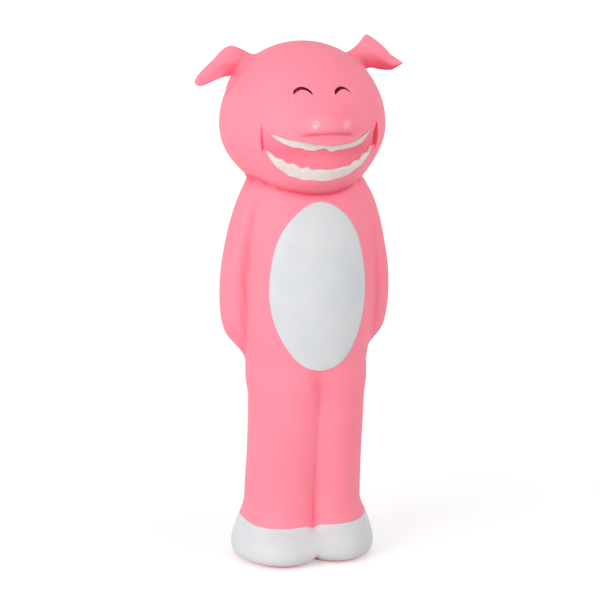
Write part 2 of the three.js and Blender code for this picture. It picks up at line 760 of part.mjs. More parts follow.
// The cap: a disc with air holes and a spigot that fits in the barrel
function capGeometry() {
  const discZ = BARREL_TOP_Z + GAP
  const shape = new THREE.Shape()
  shape.absarc(0, 0, BARREL_RADIUS, 0, 2 * Math.PI, false)
  for (let i = 0; i < CAP_HOLES; i += 1) {
    const angle = (2 * Math.PI * i) / CAP_HOLES
    const hole = new THREE.Path()
    const x = CAP_HOLE_CIRCLE * Math.cos(angle)
    const y = CAP_HOLE_CIRCLE * Math.sin(angle)
    hole.absarc(x, y, CAP_HOLE_RADIUS, 0, 2 * Math.PI, true)
    shape.holes.push(hole)
  }
  const disc = toSolid(raised(shape, discZ, CAP_THICKNESS))
  const outer = BORE_RADIUS - GAP
  const spigotZ = discZ - GAP - CAP_SPIGOT_LENGTH
  const spigot = turned([
    [outer - CAP_SPIGOT_WALL, spigotZ],
    [outer, spigotZ],
    [outer, discZ + CAP_THICKNESS / 2],
    [outer - CAP_SPIGOT_WALL, discZ + CAP_THICKNESS / 2],
  ])
  return toGeometry(disc.add(toSolid(spigot)))
}

// The one-piece latex body: the hollow skin with its ears, its mouth and its nostrils
function bodyGeometry() {
  let body = toSolid(figureGeometry())
  body = body.add(toSolid(earGeometry(1))).add(toSolid(earGeometry(-1)))
  body = body.subtract(toSolid(mouthCutter()))
  for (const side of [-1, 1]) {
    const at = frontPoint((side * NOSTRIL_SPACING) / 2, HEAD_Z + SNOUT.above + NOSTRIL_LIFT)
    const nostril = new THREE.SphereGeometry(NOSTRIL_RADIUS, 12, 8)
    nostril.scale(1, NOSTRIL_DEPTH / NOSTRIL_RADIUS, 1)
    nostril.translate(at[0], at[1], at[2])
    body = body.subtract(toSolid(nostril))
  }
  return toGeometry(body.subtract(toSolid(hollowGeometry())))
}

function finish(colour, roughness) {
  return new THREE.MeshStandardMaterial({ color: colour, roughness, metalness: 0 })
}

const LATEX = finish(0xff8fa3, 0.5)
const WHITE_PAINT = finish(0xe6e8e8, 0.45)
const TOOTH_PAINT = finish(0xf2ece2, 0.45)
const EYE_PAINT = finish(0x5c0f2a, 0.4)
const HARD_PLASTIC = finish(0xe9e6dc, 0.4)
const REED_FILM = finish(0xd8d8cf, 0.3)

const PIECES = [
  ['latex_body', bodyGeometry(), LATEX],
  ['belly_paint', bellyGeometry(), WHITE_PAINT],
  ['right_foot_paint', footPaintGeometry(-1), WHITE_PAINT],
  ['left_foot_paint', footPaintGeometry(1), WHITE_PAINT],
  ['upper_teeth_paint', teethGeometry(UPPER_TEETH, MOUTH_TOP, -1), TOOTH_PAINT],
  ['lower_teeth_paint', teethGeometry(LOWER_TEETH, MOUTH_BOTTOM, 1), TOOTH_PAINT],
  ['right_eye_line', eyeGeometry(-1), EYE_PAINT],
  ['left_eye_line', eyeGeometry(1), EYE_PAINT],
  ['squeaker_housing', housingGeometry(), HARD_PLASTIC],
  ['reed_block', reedBlockGeometry(), HARD_PLASTIC],
  ['reed_clamp', reedClampGeometry(), HARD_PLASTIC],
  ['squeaker_reed', reedGeometry(), REED_FILM],
  ['squeaker_cap', capGeometry(), HARD_PLASTIC],
]

const toy = new THREE.Group()
toy.name = 'latex_dog_toy'
for (const [name, geometry, material] of PIECES) {
  const mesh = new THREE.Mesh(geometry, material)
  mesh.name = name
  toy.add(mesh)
}

// The origin lies under the middle of the whole figure, which reaches further forward, at the
// snout, than back
toy.position.y = -new THREE.Box3().setFromObject(toy, true).getCenter(new THREE.Vector3()).y

export default toy
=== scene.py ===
# %% [markdown]
# # A squeaking latex pig
#
# The toy is one hollow skin of pink latex, cast in a plaster mould, with white paint on its
# belly, feet and teeth, dark arches for its laughing eyes, and a squeaker in its base.
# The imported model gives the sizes, the joint and the mounts. Here the same clay formulas are
# worked out on a much finer grid, and every surface gets its finish.

import json
import math

import bpy
import numpy as np
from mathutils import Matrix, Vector

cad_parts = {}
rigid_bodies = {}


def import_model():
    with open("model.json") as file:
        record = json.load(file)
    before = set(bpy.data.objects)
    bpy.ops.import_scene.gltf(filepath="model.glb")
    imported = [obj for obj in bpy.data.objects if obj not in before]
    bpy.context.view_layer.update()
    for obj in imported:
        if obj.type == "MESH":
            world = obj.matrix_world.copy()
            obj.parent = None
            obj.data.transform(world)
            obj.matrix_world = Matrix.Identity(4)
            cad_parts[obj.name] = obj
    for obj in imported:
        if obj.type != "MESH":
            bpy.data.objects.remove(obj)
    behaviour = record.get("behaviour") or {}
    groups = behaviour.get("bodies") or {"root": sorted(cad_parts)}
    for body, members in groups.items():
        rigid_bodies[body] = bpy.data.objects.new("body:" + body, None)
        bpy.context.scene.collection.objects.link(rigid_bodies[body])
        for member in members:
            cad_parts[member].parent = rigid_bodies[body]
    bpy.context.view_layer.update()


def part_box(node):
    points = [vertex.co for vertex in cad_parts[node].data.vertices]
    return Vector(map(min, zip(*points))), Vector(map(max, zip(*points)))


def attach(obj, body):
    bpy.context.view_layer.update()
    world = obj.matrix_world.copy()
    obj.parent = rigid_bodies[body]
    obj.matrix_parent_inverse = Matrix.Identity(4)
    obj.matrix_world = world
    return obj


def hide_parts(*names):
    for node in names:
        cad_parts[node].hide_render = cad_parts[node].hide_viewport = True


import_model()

MM = 0.001
SHARP_ANGLE = math.radians(50)
housing_low, housing_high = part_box("squeaker_housing")
AXIS_Y = (housing_low.y + housing_high.y) / 2

# %% [markdown]
# ## Helpers that put a surface into a mesh
#
# Every new piece is a grid of points: rows one way, columns the other. A grid that goes round
# is closed by joining its last column to its first. A row drawn together to one point closes
# an end of a tube, and a ring closes both ways. The sculpt is worked out in millimetres about
# the squeaker's axis, and `in_frame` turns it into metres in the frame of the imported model.

# %% Grids and meshes
def grid_faces(rows, columns):
    """Corner numbers of the quads between neighbouring rows of a grid that closes round."""
    r, c = np.meshgrid(np.arange(rows - 1), np.arange(columns), indexing="ij")
    right = (c + 1) % columns
    return np.stack(
        [r * columns + c, (r + 1) * columns + c, (r + 1) * columns + right, r * columns + right], -1
    ).reshape(-1, 4)


def closed_tube(points):
    """Points (rows, columns, 3) of a closed surface whose first and last rows are single places."""
    rows, columns = points.shape[:2]
    first, last = points[0, 0], points[-1, 0]
    body = points[1:-1].reshape(-1, 3)
    vertices = np.vstack([body, first, last])
    quads = grid_faces(rows - 2, columns)
    c = np.arange(columns)
    right = (c + 1) % columns
    top = np.stack([np.full(columns, len(body)), c, right], -1)
    base = (rows - 3) * columns
    bottom = np.stack([np.full(columns, len(body) + 1), base + right, base + c], -1)
    return vertices, quads, np.vstack([top, bottom])


def fill_mesh(mesh, vertices, quads, triangles):
    """Loads corners and faces into an empty mesh with foreach_set."""
    loops = np.concatenate([quads.ravel(), triangles.ravel()])
    sizes = np.concatenate([np.full(len(quads), 4), np.full(len(triangles), 3)])
    mesh.vertices.add(len(vertices))
    mesh.vertices.foreach_set("co", vertices.astype(np.float32).ravel())
    mesh.loops.add(len(loops))
    mesh.loops.foreach_set("vertex_index", loops.astype(np.int32))
    mesh.polygons.add(len(sizes))
    mesh.polygons.foreach_set("loop_start", (np.cumsum(sizes) - sizes).astype(np.int32))
    mesh.update(calc_edges=True)
    mesh.validate()


def in_frame(points):
    """Sculpt millimetres about the spine as metres in the frame."""
    return (points + [0, AXIS_Y / MM, 0]) * MM


def surface_object(name, points, thin=None, ring=False):
    """A new object from the points (rows, columns, 3) of a tube or, like a tyre, of a ring.

    `thin`, one number per point, is kept as an attribute: how thin the paint is there.
    """
    rows, columns = points.shape[:2]
    if ring:
        vertices, triangles = points.reshape(-1, 3), np.empty((0, 3), int)
        quads = grid_faces(rows + 1, columns) % (rows * columns)
    else:
        vertices, quads, triangles = closed_tube(points)
        if thin is not None:
            thin = np.concatenate([thin[1:-1].ravel(), thin[0, :1], thin[-1, :1]])
    mesh = bpy.data.meshes.new(name)
    fill_mesh(mesh, in_frame(vertices), quads, triangles)
    if thin is not None:
        keep_attribute(mesh, "thin", thin.ravel())
    return outward(object_from(name, mesh))


def keep_attribute(mesh, label, values):
    """Stores one number per corner under a label that a material can read."""
    layer = mesh.attributes.new(label, "FLOAT", "POINT")
    layer.data.foreach_set("value", values.astype(np.float32))


def object_from(name, mesh):
    """Puts a mesh into the scene, smooth but for the edges where it turns sharply."""
    mesh.shade_smooth()
    mesh.set_sharp_from_angle(angle=SHARP_ANGLE)
    obj = bpy.data.objects.new(name, mesh)
    bpy.context.scene.collection.objects.link(obj)
    return obj


def corners(mesh):
    """The corners of a mesh as an array in sculpt millimetres."""
    flat = np.empty(len(mesh.vertices) * 3, np.float32)
    mesh.vertices.foreach_get("co", flat)
    return flat.reshape(-1, 3).astype(float) / MM - [0, AXIS_Y / MM, 0]


def outward(obj):
    """Turns a closed mesh the right way out if its signed volume is negative, and prints it."""
    mesh = obj.data
    mesh.calc_loop_triangles()
    tri = np.empty(len(mesh.loop_triangles) * 3, np.int32)
    mesh.loop_triangles.foreach_get("vertices", tri)
    a, b, c = corners(mesh)[tri.reshape(-1, 3)].transpose(1, 0, 2)
    volume = np.einsum("ij,ij->i", a, np.cross(b, c)).sum() / 6
    if volume < 0:
        mesh.flip_normals()
    print(obj.name, len(mesh.loop_triangles), "triangles,", round(abs(volume) / 1000, 2), "cm3")
    return obj

# %% [markdown]
# ## Clay
#
# A soft figure could be pushed together from subdivided boxes, but then each size hides in a
# cage. Here it is a field instead: a number for every place, negative inside the clay. Lumps
# and limbs are simple formulas, and `join` adds a fillet where two of them meet. The same
# formulas are in the part's source, so that the fine skin and the solid one agree.

# %% Joining lumps
TINY = 1e-9


def join(a, b, radius):
    """The nearer of two shapes, lowered where both are about as near, which fills the corner."""
    h = np.maximum(radius - np.abs(a - b), 0) / radius
    return np.minimum(a, b) - h * h * radius / 4


def common(a, b, radius):
    """What two shapes share, with the edge between them rounded."""
    return -join(-a, -b, radius)


def lump(p, centre, half, down=None):
    """Distance to an ellipsoid: k(k-1) over the slope of k, where k is the scaled radius.

    Below its centre it can have another half height, `down`.
    """
    q = p - np.array(centre, float)
    size = np.broadcast_to(np.array(half, float), q.shape).copy()
    if down is not None:
        size[..., 2] = np.where(q[..., 2] > 0, half[2], down)
    k = np.linalg.norm(q / size, axis=-1)
    return k * (k - 1) / (np.linalg.norm(q / size**2, axis=-1) + TINY)


# %% Limbs with elliptical sections
def ellipse_distance(x, y, half_x, half_y):
    """Distance to an ellipse, by the same formula as for a lump."""
    a, b = x / half_x, y / half_y
    k = np.hypot(a, b)
    return k * (k - 1) / (np.hypot(a / half_x, b / half_y) + TINY)


def limb(bottom, length, stations):
    """Stations (share, x, y, half width, half depth) of an upright limb, with their slopes."""
    table = np.array(stations, float)
    z = bottom + table[:, 0] * length
    value = table[:, 1:]
    low = np.maximum(np.arange(len(z)) - 1, 0)
    high = np.minimum(np.arange(len(z)) + 1, len(z) - 1)
    slope = (value[high] - value[low]) / (z[high] - z[low])[:, None]
    return z, value, slope


def limb_sizes(shape, height):
    """The limb's x, y, half width and half depth at each height, by cubics between stations."""
    z, value, slope = shape
    h = np.clip(height, z[0], z[-1])
    i = np.clip(np.searchsorted(z, h, side="right") - 1, 0, len(z) - 2)
    span = (z[i + 1] - z[i])[..., None]
    t = (h - z[i])[..., None] / span
    u = 1 - t
    return (u * u * (1 + 2 * t) * value[i] + t * u * u * span * slope[i]
            + t * t * (3 - 2 * t) * value[i + 1] - t * t * u * span * slope[i + 1])


def limb_distance(p, shape, shift=0.0):
    """Distance to a limb; a shift moves its inner side only, and its outer side stays."""
    x, y, half_width, half_depth = np.moveaxis(limb_sizes(shape, p[..., 2]), -1, 0)
    return ellipse_distance(p[..., 0] - x - shift / 2, p[..., 1] - y,
                            half_width - shift / 2, half_depth)

# %% [markdown]
# ## The pig's proportions
#
# Legs, trunk and head are stacked from the floor. Each limb is a short list of sections that
# a sculptor would measure with callipers, from its lower end to its upper one. The fillets are
# named by the place that they soften, and `ROUNDING` is that of the limbs' own ends.

# %% Sizes of the figure
LEG_LENGTH = 74
TRUNK_LENGTH = 86
NECK_Z = LEG_LENGTH + TRUNK_LENGTH
HEAD_Z = NECK_Z + 21.5
OVERLAP = 0.1 * TRUNK_LENGTH

LEG = limb(0, LEG_LENGTH, [
    (0, 9.2, 1, 15.4, 19), (0.34, 8.8, 0.4, 15.5, 18.6), (0.62, 7.9, -2.6, 16, 18.8),
    (0.89, 7.6, -5.2, 16.4, 19.4), (1.14, 7.6, -5.4, 16.7, 20),
])
PARTING = 0.8
TRUNK = limb(LEG_LENGTH, TRUNK_LENGTH, [
    (-0.16, 0, -5.5, 21.5, 18.5), (0.07, 0, -5.3, 24.5, 21.5), (0.3, 0, -4.5, 27.3, 24.5),
    (0.535, 0, -3.8, 28.5, 25.5), (0.77, 0, -3.4, 27.4, 24), (0.94, 0, -2.6, 23.8, 22),
    (1.14, 0, 0, 18, 18),
])
ARM = limb(LEG_LENGTH, TRUNK_LENGTH, [
    (0.16, 25.6, -2, 5, 6), (0.27, 28.8, -3, 5.6, 7.8), (0.38, 30.1, -3.8, 6, 8.6),
    (0.53, 30, -4.4, 6.1, 9), (0.66, 28.6, -4.6, 6, 9), (0.8, 25.9, -4.6, 5.8, 8.8),
    (0.93, 21.7, -4.4, 5.5, 8.2), (1.06, 14.5, -3.4, 5, 7),
])
ARM_BOTTOM_Z = LEG_LENGTH + 0.175 * TRUNK_LENGTH
TRUNK_BOTTOM_Z = LEG_LENGTH - 0.03 * TRUNK_LENGTH
ROUNDING = 10
FILLET = dict(legs=0.5, hips=5, feet=2, ankle=2, ankles=3, arms=5, neck=1.2, jaw=8, lip=4,
              snout=5)
FLOOR_ROUNDING = 5
FOOT = dict(aside=11.5, above=5, half=(18.1, 24.7, 14.5), down=20)
FOOT_FORWARD = {-1: 0.6, 1: -1.2}
ANKLE = dict(aside=11.5, above=6, half=(17.7, 19, 22))
HEAD = dict(
    ball=dict(y=0, above=0, half=(33.9, 34.5, 33.6), down=27.5),
    jaw=dict(y=-8, above=-10.5, half=(22, 26.5, 19.2)),
    lip=dict(y=-27.5, above=-3.2, half=(15, 8, 4.6)),
    snout=dict(y=-31, above=4.6, half=(12.5, 10, 6.2)),
)


# %% The field of the skin
def head_field(p):
    """A ball for the skull, a jaw, the lip over the mouth and a flat snout."""
    ball, jaw, lip, snout = (
        lump(p, (0, part["y"], HEAD_Z + part["above"]), part["half"], part.get("down"))
        for part in HEAD.values())
    chin = join(ball, jaw, FILLET["jaw"])
    return join(join(chin, lip, FILLET["lip"]), snout, FILLET["snout"])


def foot_field(p, side):
    """A low lump for the foot with a taller one over it, which flares the ankle's sides."""
    middle = (side * FOOT["aside"], -FOOT_FORWARD[side], FOOT["above"])
    foot = lump(p, middle, FOOT["half"], down=FOOT["down"])
    ankle = lump(p, (side * ANKLE["aside"], 0, ANKLE["above"]), ANKLE["half"])
    return join(foot, ankle, FILLET["ankle"])


def body_fields(p):
    """Both legs, joined at the parting, and the trunk, with rounded ends."""
    z = p[..., 2]
    left, right = limb_distance(p, LEG, PARTING), limb_distance(p * [-1, 1, 1], LEG, -PARTING)
    legs = common(join(left, right, FILLET["legs"]), z - (LEG_LENGTH + OVERLAP), ROUNDING)
    trunk = common(limb_distance(p, TRUNK), TRUNK_BOTTOM_Z - z, ROUNDING)
    return legs, common(trunk, z - (NECK_Z + OVERLAP), ROUNDING)


def arm_field(p):
    """The arm on the side that p is on, slimmed a little inside and outside."""
    z = p[..., 2]
    right = p[..., 0] < 0
    # Millimetres taken off: the right arm's inside upwards of its middle, then each outside.
    inside = np.where(right, 2.4 * ramp(z - 112, 40), 0)
    left_outside = 0.9 * ramp(z - 92, 8) * ramp(142 - z, 12)
    outside = np.where(right, 0.4 + 0.5 * ramp(98 - z, 6), left_outside)
    side_p = np.stack([np.abs(p[..., 0]) + outside, p[..., 1], z], -1)
    arm = common(limb_distance(side_p, ARM, inside + outside), ARM_BOTTOM_Z - z, ROUNDING)
    return common(arm, z - (NECK_Z + OVERLAP), ROUNDING)


def trunk_field(p, between_feet=FILLET["feet"]):
    """Legs, trunk, feet and arms, flowing into each other."""
    legs, trunk = body_fields(p)
    feet = join(foot_field(p, -1), foot_field(p, 1), between_feet)
    body = join(join(legs, trunk, FILLET["hips"]), feet, FILLET["ankles"])
    return join(body, arm_field(p), FILLET["arms"])


def on_floor(field, p):
    """A field cut flat at the floor, with a rounded edge."""
    return common(field, -p[..., 2], FLOOR_ROUNDING)


def skin_field(p):
    """The whole figure without ears."""
    return on_floor(join(trunk_field(p), head_field(p), FILLET["neck"]), p)

# %% [markdown]
# ## Finding the skin
#
# The skin is where the field is zero. Rays start on the spine and walk outwards until the
# sign changes, and halving then closes in on the place. All rays walk together, as arrays.
# The slope of the field is the way out of the clay, which is the skin's normal.

# %% Rays and normals
STRIDE = 3.0
REACH = 90
HALVINGS = 14


def on_skin(origin, direction, field=skin_field):
    """First change of sign along each ray, found by strides and then by halving."""
    inside = field(origin) < 0
    near = np.zeros(origin.shape[:-1])
    far = np.full_like(near, REACH)
    open_ray = np.ones(near.shape, bool)
    for distance in np.arange(STRIDE, REACH, STRIDE):
        crossed = open_ray & ((field(origin + direction * distance) < 0) != inside)
        far = np.where(crossed, distance, far)
        near = np.where(crossed, distance - STRIDE, near)
        open_ray &= ~crossed
        if not open_ray.any():
            break
    for _ in range(HALVINGS):
        middle = (near + far) / 2
        same = (field(origin + direction * middle[..., None]) < 0) == inside
        near = np.where(same, middle, near)
        far = np.where(same, far, middle)
    return origin + direction * near[..., None]


def normal_at(p, field=skin_field, nudge=0.05):
    """Outward direction: the field's slope by differences along x, y and z, made unit length."""
    slope = np.stack([field(p + step) - field(p - step) for step in np.eye(3) * nudge], -1)
    return slope / np.linalg.norm(slope, axis=-1, keepdims=True)


def spine_ray(angle, z, rise):
    """Origins on the spine and directions at an angle from the front, climbing by `rise`."""
    angle, z, rise = np.broadcast_arrays(angle, z, rise)
    origin = np.stack([np.zeros_like(z), np.zeros_like(z), z], -1).astype(float)
    direction = np.stack([np.sin(angle), -np.cos(angle), rise], -1)
    return origin, direction / np.linalg.norm(direction, axis=-1, keepdims=True)

# %% [markdown]
# ## The face in relief
#
# On the real toy the mouth, the nostrils, the fold under the snout and the closed eyelids are
# pressed into the mould. They are shallow, so they are given as a depth at each place of the
# skin: how far it is pushed back towards the spine. The lips' edges run through lists of
# places (x, height over the head's middle). Smooth ramps keep all edges as soft as latex
# edges are.

# %% Depth of the relief
UPPER_LIP = [(-23.6, 2.4), (-21.6, 1.6), (-20.1, 0.3), (-18.1, -0.5), (-16.1, -1.3), (-14.1, -1.8),
             (-9.9, -2.5), (-5.4, -3.4), (-3, -3.7), (-0.5, -4), (2, -4.15), (4.5, -4),
             (7.2, -3.8), (10, -3.4), (13, -2.7), (16.3, -1.3), (18, -0.6), (19.9, 0.7),
             (21.5, 1.8), (23.6, 3)]
LOWER_LIP = [(-23.6, -6.2), (-22.2, -7), (-21.9, -7.7), (-20.7, -9.9), (-19.7, -11.3),
             (-18.6, -12.6), (-17.5, -13.5), (-15.3, -15.1), (-14.2, -15.9), (-12.5, -16.5),
             (-11, -16.9), (-9.3, -17.6), (-7.6, -17.7), (-5.4, -17.7), (-3, -18), (-0.5, -18.3), (2, -18),
             (4.5, -17.5), (7.2, -17.2), (8.5, -16.6), (9.9, -16.2), (11.3, -15.6), (12.7, -14.6),
             (14.1, -13.9), (15.6, -13.1), (17.2, -12.1), (18.7, -10.9), (20.3, -9.5), (21.6, -6.8),
             (23.6, -6)]
MOUTH_HALF_WIDTH = 23.6
MOUTH_CORNER = math.radians(44.8)
MOUTH_DEPTH = 1.3
CREASE = dict(depth=0.6, width=0.32, middle_z=179.6, half_height=5.4)
CHEEK = dict(rise=0.6, width=3.5, middle_z=178.5, half_height=6)
LID_RISE = 0.75
SNOUT_FOLD = dict(depth=0.7, middle_x=-0.6, above=0.9, bend=1.1, half_width=9.7, fade=0.6)
EYE = {-1: dict(middle=-8.45, above=16, half_width=3.75, arch=2.15),
       1: dict(middle=7.9, above=15.95, half_width=3.5, arch=1.8)}
NOSTRIL = dict(aside=6.6, above=4.8, half_width=2.2, half_height=1.9, depth=1.2)


EDGE = 0.35


def ramp(distance, half_width=EDGE):
    """0 on one side of an edge and 1 on the other, rising in an S over twice the half width."""
    t = np.clip((distance / half_width + 1) / 2, 0, 1)
    return t * t * (3 - 2 * t)


def bell(distance, width):
    """1 at 0, falling off on both sides: e to the power of minus the squared share of width."""
    return np.exp(-((distance / width) ** 2))


def facing_front(y):
    """1 on the front half of the toy and 0 on its back."""
    return ramp(-y - 5, 3)


def through(places):
    """A smooth curve of x through a list of (x, height over the head's middle)."""
    shape = limb(0, 1, places)
    return lambda x: HEAD_Z + limb_sizes(shape, x)[..., 0]


MOUTH_TOP = through(UPPER_LIP)
MOUTH_BOTTOM = through(LOWER_LIP)


def eye_arch(x, eye):
    """Height of an eye's arch, x from the eye's own middle."""
    return HEAD_Z + eye["above"] + eye["arch"] * (1 - (x / eye["half_width"]) ** 2)


def mouth_ramps(p):
    """The mouth's upper, lower and side edges as ramps; the upper one is soft at the corners."""
    x, y, z = np.moveaxis(p, -1, 0)
    soft = EDGE + 2.2 * ramp(np.abs(x) - 20.5, 2.5)
    upper = ramp(MOUTH_TOP(x) - z - soft + EDGE, soft)
    lower = ramp(z - MOUTH_BOTTOM(x))
    beside = (MOUTH_CORNER - np.abs(np.arctan2(x, -y))) * np.hypot(x, y)
    return upper, lower, ramp(beside), beside


def crease(z, beside):
    """1 along the crease at each corner of the mouth, 0 away from it."""
    along = ramp(CREASE["half_height"] - np.abs(z - CREASE["middle_z"]), 1.5)
    return bell(beside, CREASE["width"]) * along


def nostril(x, z):
    """1 in the middle of each nostril, falling to 0 over its rim."""
    share = np.hypot((np.abs(x + 0.35) - NOSTRIL["aside"]) / NOSTRIL["half_width"],
                     (z - HEAD_Z - NOSTRIL["above"]) / NOSTRIL["half_height"])
    return bell(share, 1)


def snout_fold(x, z, fade_above=SNOUT_FOLD["fade"]):
    """1 along the bent fold under the snout, fading out above and below it."""
    share = (x - SNOUT_FOLD["middle_x"]) / SNOUT_FOLD["half_width"]
    off = z - (HEAD_Z + SNOUT_FOLD["above"] - SNOUT_FOLD["bend"] * share**2)
    fade = np.where(off > 0, fade_above, SNOUT_FOLD["fade"])
    return bell(off, fade) * ramp(10.3 - np.abs(x), 2.5)


def eyelid(x, z, eye):
    """1 just under an eye's arch, fading out downwards."""
    eye_x = x - eye["middle"]
    under = eye_arch(eye_x, eye) - z
    across = ramp(eye["half_width"] + 0.2 - np.abs(eye_x), 0.8)
    return across * ramp(under, 0.3) * np.exp(-np.maximum(under, 0) / 2)


def relief(p):
    """Depth at points of the skin, in millimetres towards the spine; what rises is negative."""
    x, y, z = np.moveaxis(p, -1, 0)
    upper, lower, side, beside = mouth_ramps(p)
    near_corner = ramp(CHEEK["half_height"] - np.abs(z - CHEEK["middle_z"]), 4)
    cheek = bell(beside, CHEEK["width"]) * (1 - side) * near_corner
    depth = MOUTH_DEPTH * (1 - 0.55 * (x < 0) * bell(beside, 3))
    mouth = depth * upper * lower * side + CREASE["depth"] * crease(z, beside)
    mouth = mouth - CHEEK["rise"] * cheek
    lids = LID_RISE * (eyelid(x, z, EYE[-1]) + eyelid(x, z, EYE[1]))
    snout = NOSTRIL["depth"] * nostril(x, z) + SNOUT_FOLD["depth"] * snout_fold(x, z)
    return facing_front(y) * (mouth + snout - lids)


def skin_from_spine(angle, z, rise=0.0):
    """Points of the finished skin along rays from the spine, with the relief pressed in."""
    origin, direction = spine_ray(angle, z, rise)
    p = on_skin(origin, direction)
    return p - direction * relief(p)[..., None]

# %% [markdown]
# ## Rows and columns of the skin
#
# A plain grid of equal steps would cut the mouth's edges into little stairs. So the columns
# crowd together at the mouth's corners, and some rows follow the two curves of the smile.
# Between such key rows the others are spread evenly. Over the crown and under the sole the
# rays fan out, because level rays would miss them.

# %% Columns
def spread(*stretches):
    """Numbers over several stretches (from, to, count), each without its last value."""
    return np.concatenate([np.linspace(a, b, n, endpoint=False) for a, b, n in stretches])


corner = math.degrees(MOUTH_CORNER)
right_side = np.radians(np.append(spread(
    (0, corner - 1.6, 54), (corner - 1.6, corner - 0.7, 3), (corner - 0.7, corner + 0.7, 11),
    (corner + 0.7, corner + 4, 6), (corner + 4, 180, 58),
), 180))
COLUMNS = np.concatenate([-right_side[-2:0:-1], right_side])
print(len(COLUMNS), "columns round the toy")


# %% Key rows
def follow(edge, offset):
    """Heights, one per column, of a row that lies `offset` above a mouth edge on the skin."""
    z = np.full(len(COLUMNS), HEAD_Z - 7.0)
    for _ in range(4):
        x = on_skin(*spine_ray(COLUMNS, z, 0.0))[:, 0]
        facing = np.cos(COLUMNS) > 0
        z = edge(np.where(facing, x, MOUTH_HALF_WIDTH)) + offset
    return z


def level(z):
    """A key row at one height all round."""
    return np.full(len(COLUMNS), float(z))


def rows_between(keys):
    """Heights (rows, columns): each key row, then evenly spaced rows on the way to the next."""
    parts = []
    for (a, count), (b, _) in zip(keys[:-1], keys[1:]):
        share = np.arange(count)[:, None] / count
        parts.append(a + (b - a) * share)
    return np.vstack(parts + [keys[-1][0][None]])


CROWN_Z = 200
BODY_Z = 153
ANKLE_Z = 30
FOOT_Z = 6
ON_FLOOR = 0.002
HEIGHTS = rows_between([
    (level(CROWN_Z), 34),
    (follow(MOUTH_TOP, 1.5), 2), (follow(MOUTH_TOP, 0.5), 8), (follow(MOUTH_TOP, -0.5), 2),
    (follow(MOUTH_TOP, -1.5), 20),
    (follow(MOUTH_BOTTOM, 1.5), 2), (follow(MOUTH_BOTTOM, 0.5), 8), (follow(MOUTH_BOTTOM, -0.5), 2),
    (follow(MOUTH_BOTTOM, -1.5), 12),
    (level(BODY_Z), 94), (level(ANKLE_Z), 26), (level(FOOT_Z), 0),
])
print(HEIGHTS.shape[0], "rows from the brow to the feet")


# %% The figure's outside
def figure_points():
    """Crown fan, level rows and sole fan, one above the other, closed by a point at each end."""
    crown = np.radians(spread((90, 0, 42)))[1:]
    sole = np.radians(-np.append(spread((0, 26, 13), (26, 66, 4)), 66))[1:]
    rows = [skin_from_spine(COLUMNS, CROWN_Z, math.tan(a)) for a in crown]
    rows += list(skin_from_spine(COLUMNS[None], HEIGHTS))
    rows += [skin_from_spine(COLUMNS, FOOT_Z, math.tan(a)) for a in sole]
    top = skin_from_spine(np.zeros(1), CROWN_Z, 1e6) * [0, 0, 1]
    points = np.stack([np.repeat(top, len(COLUMNS), 0)] + rows + [np.zeros((len(COLUMNS), 3))])
    points[..., 2] = np.where(points[..., 2] < ON_FLOOR, 0, points[..., 2])
    return points


figure = surface_object("figure", figure_points())

# %% [markdown]
# ## Ears
#
# Each ear is a floppy flap, thick at the root and thin at the tip, hollowed on its front
# towards the head. It is a tube of upright elliptical sections: `share` runs from inside the
# head to the tip, and the angle runs round the section. The upper and lower edge run through
# lists of places (x, height over the head's middle), because no two hand-made ears match: the
# left one stands higher and its tip is pointed, the right one ends blunt.

# %% Ear shape
ROOT_X = 15
RIGHT_EAR = dict(
    tip_x=44,
    top=through([(15, 24.5), (17.7, 26.6), (20.2, 28.3), (23.1, 30.1), (26, 31.4), (28.5, 31.9),
                 (31.7, 30.6), (35.9, 26.6), (39, 23.9), (41.1, 21.9), (42.8, 20), (44, 18.2)]),
    low=through([(15, 13.5), (22, 16.9), (26, 18.9), (28, 19.6), (29.9, 19.9), (32.2, 19.6),
                 (34.9, 18.7), (37.5, 17.6), (40, 16.6), (42, 16.2), (43.3, 16.6), (44, 17.4)]))
LEFT_EAR = dict(
    tip_x=44.8,
    top=through([(15, 23.5), (18, 25.4), (21.1, 27.7), (24.2, 29.9), (26.1, 31.6), (27.4, 33.3),
                 (28.6, 34.5), (29.6, 34.7), (31, 33.8), (32.9, 32.5), (36.4, 29.7),
                 (37.8, 28.2), (39.7, 26.1), (41.6, 24.8), (43.8, 23.3), (44.8, 22.5)]),
    low=through([(15, 15.5), (22, 18.8), (26, 20.4), (28.8, 21.2), (30.8, 21.2), (32.1, 20.9),
                 (35.6, 20.2), (39.4, 20), (41, 20.6), (42.9, 21.6), (44.2, 22.2), (44.8, 22.4)]))
EAR_BACK = 4.6
EAR_LEAN = 0.22
ROOT_THICK = 2.3
TIP_THICK = 1.5
EAR_TIP_SHARE = 0.06
EAR_HOLLOW = dict(depth=1.1, x=31, length=6.5, up=-0.45, height=0.5)
EAR_FILLET = 3.2


def ear_section(x, ear):
    """Middle height, half height and half thickness of the section at x, closing at the tip."""
    share = np.clip((x - ROOT_X) / (ear["tip_x"] - ROOT_X), 0, 1)
    top, low = ear["top"](x), ear["low"](x)
    into_tip = np.clip((share - 1 + EAR_TIP_SHARE) / EAR_TIP_SHARE, 0, 1)
    closing = np.sqrt(np.maximum(1 - into_tip**2, 1e-6))
    thick = (ROOT_THICK + (TIP_THICK - ROOT_THICK) * share) * closing
    return (top + low) / 2, (top - low) / 2 * closing, thick


def ear_hollow(x, up):
    """Depth of the hollow on the front, deepest low down near the head; up from -1 to 1."""
    return EAR_HOLLOW["depth"] * bell(x - EAR_HOLLOW["x"], EAR_HOLLOW["length"]) * bell(
        up - EAR_HOLLOW["up"], EAR_HOLLOW["height"])


